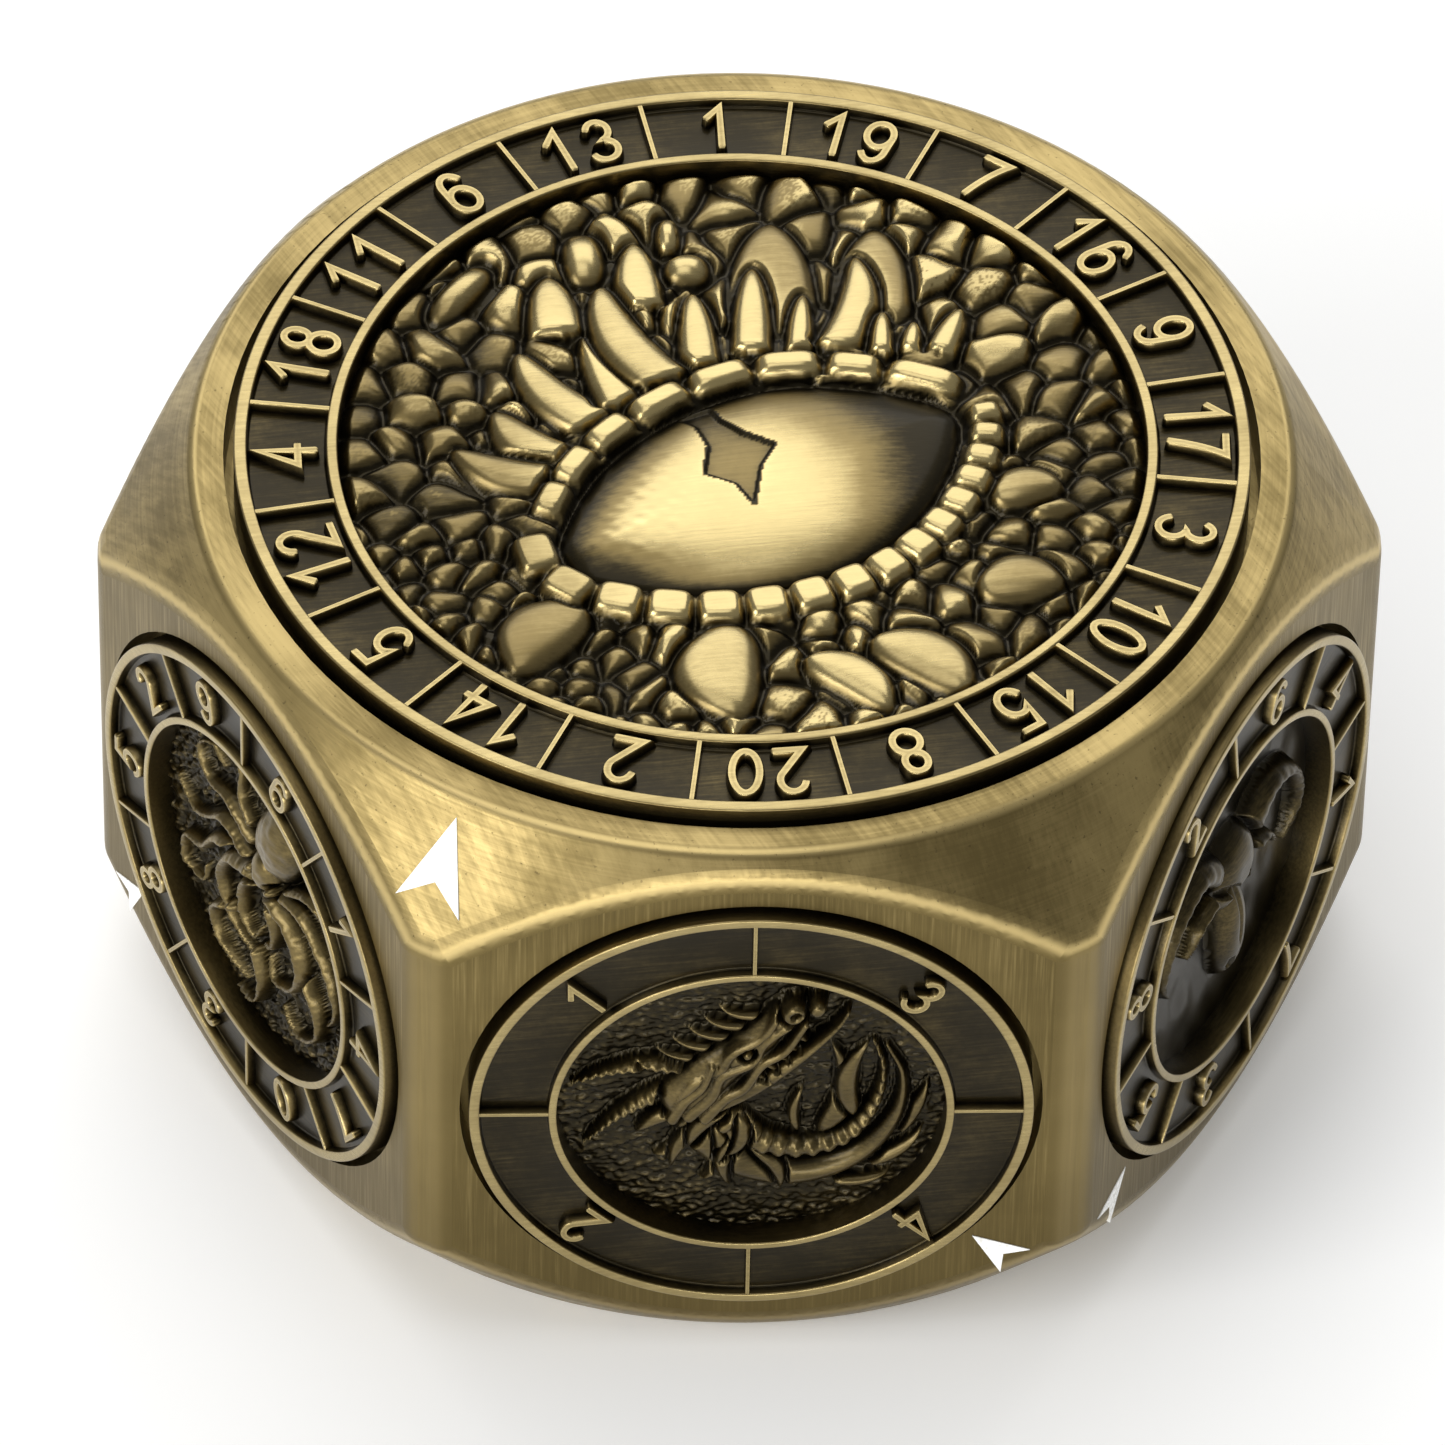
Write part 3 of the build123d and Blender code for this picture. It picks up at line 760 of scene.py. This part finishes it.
def eye_height(x, y, step):
    floor = -TOP_FLOOR + 0.04
    radius = np.hypot(x, y)
    eye = smooth_loop(EYE_OUTLINE)
    inside, owner, along, across, count = cobbles(x, y, TOP_RELIEF_R, scale_gap, 20, (0.6, -1.4), 1.35)
    chance = np.random.default_rng(7)
    tops = chance.uniform(0.48, 0.80, count)
    tilts, leans = chance.normal(0, 0.14, count), chance.normal(0, 0.10, count)
    rubs = chance.uniform(0.62, 1.15, count)
    rise = crown(inside - 0.015, 0.42) * (tops[owner] + tilts[owner] * across + leans[owner] * along)
    surface = floor + np.where(inside > 0.015, np.maximum(rise, 0), 0) + 0.05 * ripple(x, y, 5.0, 3)
    surface = softened(surface, step, 0.03)
    cobbled = surface.copy()

    for base, tip, width, bend in LOW_THORNS:
        surface = press(surface, thorn(x, y, base, tip, width, bend, 0.34, 0.70), floor, 0.0, width * 0.40)
    for base, tip, width, bend in BROW_HOODS:
        hood = thorn(x, y, base, tip, width, bend, 0.2, 0.6)
        surface = press(surface, hood, floor, -0.20, width * 0.36, 0.12)
    for base, tip, width, bend in BROW_HORNS:
        spike = thorn(x, y, base, tip, width * 1.04, bend, 0.05, 0.55)
        surface = press(surface, spike, floor, 0.0, width * 0.38, 0.10)
    for centre, size, turn in PEBBLES:
        surface = press(surface, pebble(x, y, centre, size, turn), floor, -0.10, min(size) * 0.48)

    lower = lid_blocks(x, y, eye, 0.005, 0.54, np.linspace(1.45, 0.75, 16), 1.42, 0.74)
    upper = lid_blocks(x, y, eye, 0.56, 0.985, (2.2, 1.6, 1.9, 1.9, 1.9, 1.6, 1.5, 1.4), 1.08, 0.60)
    surface = press(surface, np.maximum(lower, upper), floor + 0.12, -0.02, 0.30, 0.08)

    # The scales are made darker towards the left and right of the relief.
    darker_left_and_right = 1 - 0.38 * gentle(-x - 0.3 * y, 4.0, 9.5) - 0.35 * gentle(x - 0.2 * y, 5.5, 11.0)
    scale_rub = np.where(surface == cobbled, rubs[owner], 1.0) * darker_left_and_right
    surface = softened(surface, step, 0.065)
    ball = within(x, y, eye)
    surface = press(surface, ball - 0.05, floor, 0.0, EYE_BALL_SHOULDER, 0.16)
    pupil = within(x, y, np.array(PUPIL))
    surface = np.where(pupil > 0, surface - PUPIL_DEPTH * np.clip(pupil / 0.06, 0, 1), surface)
    by_rim = np.clip((TOP_RELIEF_R + 0.15 - radius) / 0.5, 0.3, 1)
    surface = np.where(radius > TOP_RELIEF_R - 0.4, floor + (surface - floor) * by_rim, surface)

    # Painted shade and highlight on the eyeball: its colour is bright in the middle and darker to the right, at
    # the top, at the lids and on the left, as light would fall on the dome.
    painted_shade_right = 1 - 0.96 * gentle(x + 0.3 * y, 0.6, 6.0)
    painted_shade_above = 1 - 0.30 * gentle(y, -1.2, 2.4)
    painted_shade_at_lids = 0.3 + 0.7 * gentle(ball, 0.0, 0.6)
    painted_shade_left = 1 - 0.86 * (1 - gentle(ball, 0.2, 2.3)) * gentle(-x, 0.6, 3.6)
    mottled = 1 + 0.16 * ripple(x, y, 0.45, 12) * gentle(-x, 1.0, 4.0)
    painted_eye_shading = 1.35 * painted_shade_right * painted_shade_above * painted_shade_at_lids * painted_shade_left * mottled
    rub_and_painted_shade = np.where(ball > 0, painted_eye_shading, scale_rub)
    rub_and_painted_shade = rub_and_painted_shade * np.where(np.abs(pupil) < 0.08, 0.05, np.where(pupil > 0, 0.50, 1.0))
    return np.minimum(surface, 0.0), rub_and_painted_shade


relief_piece("relief_eye", TOP_RELIEF_R, TOP_RELIEF_STEP, eye_height, 1.0, TOP_PLACE, dial_bronze)

# ---- Side dials: discs and numbers ----
# Six smaller dials, one in each side, are cast, blackened and rubbed like the large one, and
# their numbers run round a ring between two thin rims. Each turns in a pocket of the case.
SIDE_RIM_OUT = 17.85
SIDE_MIDDLE = 10.65
SIDE_RADIUS = 8.596
SIDE_RING = (6.176, 8.276)
SIDE_RELIEF_R = 5.926
SIDE_RING_DEPTH = 0.32
SIDE_FLOOR = 1.0
SIDE_THICK = 1.4
SIDE_BACK = [(7.0, -1.4), (7.0, -1.8), (2.2, -1.8), (2.2, -2.1), (1.5, -2.1), (1.5, -5.1), (0.8, -5.1),
             (0.8, -3.0)]
SIDE_DIGIT = (0.96, 1.62)
SIDE_STROKE = 0.25
SIDE_DIALS = {
    "d4": (0, (3, 4, 2, 1), 45),
    "d8": (1, (6, 4, 1, 7, 3, 5, 8, 2), 14),
    "d12": (2, (1, 9, 3, 11, 5, 7, 12, 4, 10, 2, 8, 6), 15),
    "d6": (3, (1, 5, 3, 6, 2, 4), 0),
    "d100": (4, (10, 40, 70, 0, 30, 80, 50, 20, 90, 60), 18),
    "d10": (5, (6, 1, 4, 7, 0, 3, 8, 5, 2, 9), 18)}
side_outline = dial_outline(SIDE_RADIUS, SIDE_THICK, SIDE_RING, SIDE_RING_DEPTH, 0.03,
                            SIDE_RELIEF_R, SIDE_FLOOR, SIDE_BACK, 0.06)
side_places = {}
for name, (side, numbers, first_centre) in SIDE_DIALS.items():
    turn = radians(60 * side - 90)
    out = np.array((cos(turn), sin(turn), 0))
    right = np.array((-sin(turn), cos(turn), 0))
    middle = out * SIDE_RIM_OUT + np.array((0, 0, SIDE_MIDDLE))
    place = (middle, right, np.array((0, 0, 1.0)), name + "_rotor")
    side_places[name] = place
    disc = turned_disc(side_outline, 256)
    strokes = dial_parts(numbers, first_centre, SIDE_RING, SIDE_DIGIT, SIDE_STROKE, SIDE_RING_DEPTH)
    face = make_piece("dial_face_" + name, *gathered([disc] + strokes), dial_bronze, *place)
    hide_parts("dial_" + name)

# ---- Side dials: reliefs ----
# Each side dial has a picture of its own cast in its sunken middle: a dragon, a horned skull,
# a compass star, crossed swords, a tower under a moon and an octopus. They stay darker than
# the large one because fingers don't reach into them, and the skull on the right-facing dial
# is darker still with painted shade.
SIDE_RELIEF_STEP = 0.052
SIDE_POLISH = 0.72
SIDE_GROUND = -SIDE_FLOOR + 0.03


def stand(surface, inside, top, shoulder, groove=0.16):
    """Stands a form on a side dial's sunken middle."""
    return press(surface, inside, SIDE_GROUND, top, shoulder, groove)


def hammered(x, y, step, seed, depth):
    """A floor of small uneven pits, drawn out sideways."""
    pits = softened(np.random.default_rng(seed).normal(0, 1, x.shape), step, 0.045)
    pits = (pits + np.roll(pits, 1, 1) + np.roll(pits, 2, 1) + np.roll(pits, 3, 1)) / 4
    return SIDE_GROUND + 0.09 + depth * np.clip(pits / pits.std() / 2, -1.2, 1.2)


def ringed(x, y, path, thick, thin, pitch, depth):
    """A tapering rod ringed across: how far inside it each place is, and how its rings rise and fall."""
    inside, travelled = horn(x, y, path, thick, thin)
    return inside, np.where(inside > 0.04, depth * np.cos(travelled * 2 * pi / pitch), 0)


DRAGON_FINS = [
    ((2.3, -1.2), (2.35, 2.5), 0.95, -0.16), ((3.1, -0.5), (3.65, 2.6), 0.80, 0.14),
    ((1.4, -1.2), (1.65, 0.6), 0.42, 0.12), ((4.2, -1.6), (5.4, 0.8), 0.60, -0.08),
    ((3.6, -2.8), (5.3, -1.3), 0.55, -0.1), ((2.6, -3.6), (4.4, -3.2), 0.45, -0.1)]
DRAGON_BODY = [(-1.5, -1.4), (-0.3, -2.8), (1.5, -3.3), (3.3, -2.5), (4.4, -0.8), (4.6, 1.0), (4.1, 2.3)]
DRAGON_BELLY = [(-0.7, -0.8), (0.3, -1.7), (1.7, -2.0), (3.0, -1.4), (3.8, 0.0), (4.0, 1.5), (3.7, 2.6)]
DRAGON_MANE = [
    ((-1.6, -0.2), (-3.6, -1.5)), ((-1.5, -0.6), (-3.1, -2.5)), ((-1.3, -0.9), (-2.4, -3.2)),
    ((-1.0, -1.2), (-1.6, -3.7)), ((-0.5, -1.6), (-0.5, -4.0)), ((0.2, -2.2), (0.9, -4.2)),
    ((-0.9, -0.4), (-1.9, -2.2)), ((-0.3, -0.7), (-0.9, -2.6))]
DRAGON_HORNS = [
    [(-1.6, 1.5), (-3.0, 1.8), (-4.4, 1.5), (-5.5, 0.8)],
    [(-1.8, 0.8), (-3.0, 0.4), (-4.2, -0.6), (-5.1, -1.9)]]
DRAGON_FOLDS = [
    [(-2.2, 0.1), (-1.8, 1.1), (-1.0, 1.7), (-0.6, 2.5), (0.3, 3.2), (0.8, 4.2)],
    [(-1.9, -0.3), (-1.2, 0.6), (-0.9, 1.5), (0.0, 2.1), (0.4, 3.0), (1.3, 3.9)],
    [(-1.4, -0.4), (-0.8, 0.5), (-0.2, 1.0), (0.3, 2.0), (1.0, 2.6), (1.6, 3.8)],
    [(-2.4, -0.4), (-2.0, 0.4), (-1.5, 1.0), (-1.2, 1.9)]]


def dragon_height(x, y, step):
    surface = hammered(x, y, step, 41, 0.055)
    plain = surface.copy()
    for base, tip, width, bend in DRAGON_FINS:
        surface = stand(surface, thorn(x, y, base, tip, width, bend, 0.2), -0.34, width * 0.4, 0.08)
    body, _ = horn(x, y, DRAGON_BODY, 0.85, 0.10)
    surface = stand(surface, body, -0.30, 0.7, 0.10)
    belly, rings = ringed(x, y, DRAGON_BELLY, 0.62, 0.08, 0.50, 0.07)
    surface = stand(surface, belly, -0.20, 0.45, 0.08) + rings
    for n, (base, tip) in enumerate(DRAGON_MANE):
        lock = thorn(x, y, base, tip, 0.62, 0.16 if n % 2 else -0.14, 0.25)
        surface = stand(surface, lock, -0.18 - 0.04 * (n % 3), 0.25, 0.07)
    for path in DRAGON_HORNS:
        spike, rings = ringed(x, y, path, 0.42, 0.05, 0.34, 0.045)
        surface = stand(surface, spike, -0.16, 0.32, 0.08) + rings
    for n in range(6):
        bx, by = -1.3 + 0.32 * n, 1.5 + 0.46 * n
        quill = thorn(x, y, (bx, by), (bx - 2.2 + 0.16 * n, by + 0.35), 0.42, 0.10, 0.2)
        surface = stand(surface, quill, -0.42, 0.16, 0.05)
    jaw, _ = horn(x, y, [(-1.2, 0.0), (0.1, 0.8), (1.4, 2.0), (2.5, 3.3), (2.9, 4.0)], 0.48, 0.12)
    surface = stand(surface, jaw, -0.22, 0.3, 0.08)
    for share in (0.2, 0.35, 0.5, 0.65, 0.8):
        root, point = (-0.3 + 2.0 * share, 0.9 + 2.9 * share), (0.15 + 2.0 * share, 0.55 + 2.7 * share)
        tooth = thorn(x, y, root, point, 0.24, 0.0, 0.1)
        surface = stand(surface, tooth, -0.20, 0.10, 0.05)
    head, _ = horn(x, y, [(-1.9, 0.3), (-1.1, 1.4), (0.1, 2.7), (1.2, 4.2)], 0.98, 0.50)
    surface = stand(surface, head, -0.12, 0.7, 0.08)
    for path in DRAGON_FOLDS:
        fold, _ = horn(x, y, path, 0.20, 0.11)
        surface = press(surface, fold, SIDE_GROUND + 0.74, -0.04, 0.16, 0.06)
    for spot, size in (((1.25, 4.25), 1.0), ((1.95, 4.45), 0.75), ((-0.15, 2.45), 0.55)):
        surface = stand(surface, pebble(x, y, spot, (size, size * 0.8), 50), -0.03, 0.2, 0.07)
    surface = surface - 0.30 * crown(pebble(x, y, (1.28, 4.25), (0.42, 0.30), 50), 0.12)
    # The hammered floor gets a higher rub than the dragon, so the tops of its pits come out bright: partly
    # rubbing, partly painted sparkle.
    return np.clip(surface, SIDE_GROUND, 0.0), np.where(surface == plain, 0.62, 0.44)


OCTOPUS_ARMS = [
    (0.36, [(-0.3, 2.4), (-1.6, 2.9), (-2.9, 2.8), (-3.5, 3.7), (-2.7, 4.4), (-2.1, 3.9)]),
    (0.30, [(0.2, 3.0), (-0.8, 3.8), (-0.9, 4.9), (-1.8, 5.0)]),
    (0.34, [(2.0, 2.2), (3.4, 2.9), (4.5, 2.6), (4.9, 1.6), (4.3, 1.2)]),
    (0.42, [(1.6, 1.6), (3.0, 1.7), (4.2, 0.7), (4.8, -0.7), (4.2, -1.9), (3.6, -1.5)]),
    (0.42, [(-0.3, 1.6), (-1.8, 1.9), (-3.0, 1.0), (-3.9, 0.6), (-5.0, 1.0)]),
    (0.40, [(-0.6, 1.2), (-2.3, 0.6), (-3.2, -0.5), (-4.3, -1.0), (-4.4, -2.2), (-3.4, -2.3), (-3.3, -1.6)]),
    (0.36, [(2.6, -0.4), (3.7, -1.4), (3.8, -2.8), (2.6, -3.9), (1.5, -3.5)]),
    (0.34, [(-1.4, -1.6), (-2.5, -2.6), (-2.1, -3.8), (-0.7, -4.3)]),
    (0.30, [(0.2, -2.2), (0.5, -3.4), (-0.1, -4.7), (-1.2, -5.0)]),
    (0.38, [(0.3, 1.2), (-0.6, 0.1), (-0.7, -1.2), (-0.1, -1.8), (0.2, -1.2)]),
    (0.36, [(0.7, 1.2), (1.3, 0.0), (1.1, -1.2), (0.5, -1.6)]),
    (0.52, [(0.1, 1.3), (-1.4, 0.6), (-2.0, -0.8), (-1.3, -2.2), (-0.2, -2.8)]),
    (0.55, [(0.9, 1.2), (2.3, 0.7), (2.9, -0.6), (2.3, -2.0), (1.1, -2.7), (0.7, -2.0)])]


def octopus_height(x, y, step):
    surface = hammered(x, y, step, 52, 0.11)
    for n, (thick, path) in enumerate(OCTOPUS_ARMS):
        arm, rings = ringed(x, y, path, thick * 0.84, 0.08, 0.24, 0.006)
        surface = stand(surface, arm, -0.30 + 0.022 * n, thick * 0.95, 0.09) + rings
    surface = stand(surface, pebble(x, y, (1.35, 3.5), (3.5, 2.5), 62, 2.1), 0.0, 1.25, 0.08)
    surface = stand(surface, pebble(x, y, (0.72, 1.9), (1.9, 1.6), 60, 2.1), -0.02, 0.7, 0.05)
    for centre in ((0.18, 1.75), (1.35, 1.62)):
        surface = stand(surface, pebble(x, y, centre, (0.52, 0.40), 30), 0.0, 0.16, 0.10)
    bumps = softened(np.random.default_rng(8).normal(0, 1, x.shape), step, 0.10)
    surface = surface + np.where(surface > -0.5, 0.014 * bumps / bumps.std(), 0)
    return np.clip(surface, SIDE_GROUND, 0.0), 0.52


SKULL_HORNS = [
    (0.62, [(0.8, 1.6), (2.4, 2.6), (4.0, 1.8), (4.6, 0.0), (3.9, -1.3)]),
    (0.34, [(1.0, 0.9), (2.2, 0.6), (2.9, -0.4)])]


def skull_height(x, y, step):
    surface = SIDE_GROUND + 0.05 + 0.04 * ripple(x, y, 1.4, 61)
    for side in (-1, 1):
        for thick, path in SKULL_HORNS:
            curl, far = horn(x, y, [(px * side, py) for px, py in path], thick, 0.08)
            rings = np.where(curl > 0.05, 0.012 * np.cos(far * 2 * pi / 0.5), 0)
            surface = stand(surface, curl, -0.14, thick * 0.8) + rings
    surface = stand(surface, pebble(x, y, (0, 1.0), (3.2, 2.6), 90, 2.4), -0.02, 1.0)
    surface = stand(surface, pebble(x, y, (0, -1.6), (4.4, 1.7), 90, 2.2), -0.05, 0.7, 0.05)
    for side in (-1, 1):
        surface = surface - 0.45 * crown(pebble(x, y, (0.72 * side, 0.75), (0.95, 0.62), 25 * side), 0.22)
        surface = surface - 0.30 * crown(pebble(x, y, (0.26 * side, -2.9), (0.7, 0.26), 80 * side), 0.12)
    surface = surface - 0.12 * crown(pebble(x, y, (0, -0.9), (2.6, 0.16), 90), 0.07)
    # Painted shade: the skull's low rub darkens this right-facing dial as if it sat in shade.
    return np.clip(surface, SIDE_GROUND, 0.0), 0.26


def compass_height(x, y, step):
    surface = hammered(x, y, step, 71, 0.04)
    radius = np.hypot(x, y)
    for ring in (5.3, 3.2):
        surface = stand(surface, 0.16 - np.abs(radius - ring), -0.35, 0.12)
    for n in range(16):
        turn = radians(22.5 * n)
        spot = (5.3 * 0.81 * sin(turn), 5.3 * 0.81 * cos(turn))
        surface = stand(surface, pebble(x, y, spot, (0.34, 0.34), 0), -0.40, 0.16)
    for first, long, width in ((45, 3.7, 1.5), (0, 5.1, 1.9)):
        for n in range(4):
            turn = radians(first + 90 * n)
            c, s = cos(turn), sin(turn)
            along, off = x * c + y * s, -x * s + y * c
            blade = np.minimum(width / 2 * np.clip(1 - along / long, 0, 1) - np.abs(off), along)
            ridge = np.clip(blade / 0.55, 0, 1)
            surface = np.where(blade > 0, np.maximum(surface, SIDE_GROUND + 0.90 * ridge ** 0.8), surface)
    surface = stand(surface, pebble(x, y, (0, 0), (1.3, 1.3), 0, 2.0), 0.0, 0.5, 0.08)
    return np.minimum(surface, 0.0), 0.78


def swords_height(x, y, step):
    surface = hammered(x, y, step, 81, 0.05)
    for lean in (-38, 38):
        c, s = cos(radians(90 + lean)), sin(radians(90 + lean))
        along, off = x * c + y * s, -x * s + y * c
        blade = np.minimum(0.52 * np.clip((5.3 - along) / 1.5, 0, 1) - np.abs(off), along + 2.4)
        surface = stand(surface, blade, -0.10, 0.50, 0.12)
        surface = surface - np.where((blade > 0) & (along < 3.6), 0.10 * crown(0.10 - np.abs(off), 0.1), 0)
        guard_at = (-2.5 * c, -2.5 * s)
        surface = stand(surface, pebble(x, y, guard_at, (2.6, 0.5), lean, 3.0), -0.04, 0.24)
        grip = np.minimum(0.27 - np.abs(off), np.minimum(-2.7 - along, along + 4.5))
        wrapping = np.where(grip > 0.02, 0.05 * np.cos(along * 2 * pi / 0.28), 0)
        surface = stand(surface, grip, -0.12, 0.24) + wrapping
        surface = stand(surface, pebble(x, y, (-4.75 * c, -4.75 * s), (0.85, 0.85), 0, 2.0), -0.05, 0.4)
    return np.minimum(surface, 0.0), 0.78


def tower_height(x, y, step):
    surface = hammered(x, y, step, 91, 0.05)
    moon = np.minimum(1.5 - np.hypot(x - 2.7, y - 3.0), np.hypot(x - 3.3, y - 3.5) - 1.25)
    surface = stand(surface, moon, -0.20, 0.3)
    inside = cobbles(x, y, SIDE_RELIEF_R, lambda px, py: 0.8, 92, (0, 6), 0.8)[0]
    hill = -2.6 + 0.5 * np.cos(x * 0.55) - y
    rocks = SIDE_GROUND + 0.42 * crown(inside - 0.04, 0.25) * np.clip(hill / 0.4, 0, 1)
    surface = np.where(hill > 0, rocks, surface)
    wall = np.minimum(1.45 - 0.10 * (y + 3) - np.abs(x + 0.4), np.minimum(y + 3.6, 2.1 - y))
    surface = stand(surface, wall, -0.12, 1.1)
    course = np.floor((y + 3.6) / 0.62)
    level_seam = np.abs(((y + 3.6) / 0.62) % 1 - 0.5) > 0.43
    upright_seam = np.abs(((x + 0.45 * (course % 2)) / 0.9) % 1 - 0.5) > 0.45
    surface = surface - np.where((wall > 0.1) & (level_seam | upright_seam), 0.12, 0)
    head = np.minimum(1.75 - np.abs(x + 0.4), np.minimum(y - 1.9, 3.0 - y))
    surface = stand(surface, head, -0.02, 0.25)
    for n in range(4):
        surface = stand(surface, pebble(x, y, (-1.82 + 0.95 * n, 3.25), (0.6, 0.85), 0, 6.0), -0.02, 0.2)
    surface = surface - 0.5 * crown(pebble(x, y, (-0.4, -2.5), (1.0, 1.9), 0, 2.6), 0.15)
    surface = surface - 0.4 * crown(pebble(x, y, (-0.4, 0.6), (0.5, 1.1), 0, 2.6), 0.12)
    return np.clip(surface, SIDE_GROUND, 0.0), 0.78


SIDE_PICTURES = {
    "d4": ("dragon", dragon_height), "d8": ("skull", skull_height), "d12": ("compass", compass_height),
    "d6": ("swords", swords_height), "d100": ("tower", tower_height), "d10": ("octopus", octopus_height)}
for name, (picture, height) in SIDE_PICTURES.items():
    relief_piece("relief_" + picture, SIDE_RELIEF_R, SIDE_RELIEF_STEP, height, SIDE_POLISH,
                 side_places[name], dial_bronze)

# ---- Floor, lights and camera ----
# The die stands on a plain pale floor under large soft lights, and the camera looks down at it
# from in front with a long lens.
FLOOR_SIZE = 3.0
FLOOR_GLOW = 0.14
LIGHT_AIM = (0, 0, 0.01)
CAMERA_TURN = radians(-2.33)
CAMERA_RISE = radians(46.05)
CAMERA_ROLL = radians(1.26)
CAMERA_DISTANCE = 0.438
CAMERA_AIM_HEIGHT = 0.0106


def floor_finish(name):
    material, shader = new_finish(name, metallic=0.0)
    place = new_node(shader, "TexCoord").outputs["Object"]
    cloud = grain(place, 0.05, 3.0, 0.5)
    settings(shader, Base_Color=mixed(cloud, (0.95, 0.95, 0.95, 1), (0.97, 0.97, 0.97, 1)), Roughness=0.6,
             Specular_IOR_Level=0.2, Emission_Color=(1.0, 1.0, 0.99, 1), Emission_Strength=FLOOR_GLOW)
    return material


floor_mesh = bpy.data.meshes.new("floor")
half = FLOOR_SIZE / 2
corners = [(-half, -half, 0), (half, -half, 0), (half, half, 0), (-half, half, 0)]
floor_mesh.from_pydata(corners, [], [(0, 1, 2, 3)])
floor_mesh.materials.append(floor_finish("pale_floor"))
into_scene("floor", floor_mesh)

world = bpy.data.worlds.new("studio")
world.use_nodes = True
settings(world.node_tree.nodes["Background"], Color=(1.0, 1.0, 0.98, 1), Strength=0.32)
bpy.context.scene.world = world


def soft_light(name, place, size, watts):
    """A large soft lamp aimed at the die."""
    light = bpy.data.lights.new(name, "AREA")
    light.shape = "RECTANGLE"
    light.size, light.size_y = size
    light.energy = watts
    lamp = into_scene(name, light)
    lamp.location = place
    reach = np.array(LIGHT_AIM, float) - np.array(place, float)
    lamp.rotation_mode = "QUATERNION"
    lamp.rotation_quaternion = Vector(reach).to_track_quat("-Z", "Y")


soft_light("back_light", (0.0, 0.55, 0.52), (0.90, 0.60), 3.2)
soft_light("top_light", (-0.12, 0.0, 0.70), (0.50, 0.50), 1.2)
soft_light("key_light", (-0.58, -0.40, 0.38), (0.50, 0.36), 3.1)
soft_light("front_light", (-0.12, -0.70, 0.10), (0.60, 0.14), 1.8)

back = np.array((sin(CAMERA_TURN) * cos(CAMERA_RISE), -cos(CAMERA_TURN) * cos(CAMERA_RISE), sin(CAMERA_RISE)))
level = np.array((cos(CAMERA_TURN), sin(CAMERA_TURN), 0))
upward = np.cross(back, level)
rolled_right = cos(CAMERA_ROLL) * level + sin(CAMERA_ROLL) * upward
rolled_up = -sin(CAMERA_ROLL) * level + cos(CAMERA_ROLL) * upward
lens = bpy.data.cameras.new("camera")
lens.sensor_width = 36.0
lens.lens = 348.8
lens.shift_x = -0.0100
lens.shift_y = -0.0206
lens.clip_start, lens.clip_end = 0.01, 20.0
camera = into_scene("camera", lens)
eye_at = np.array((0, 0, CAMERA_AIM_HEIGHT)) + back * CAMERA_DISTANCE
rows = [[rolled_right[n], rolled_up[n], back[n], eye_at[n]] for n in range(3)]
camera.matrix_world = Matrix(rows + [[0, 0, 0, 1]])
bpy.context.scene.camera = camera
bpy.context.scene.view_settings.view_transform = "Standard"
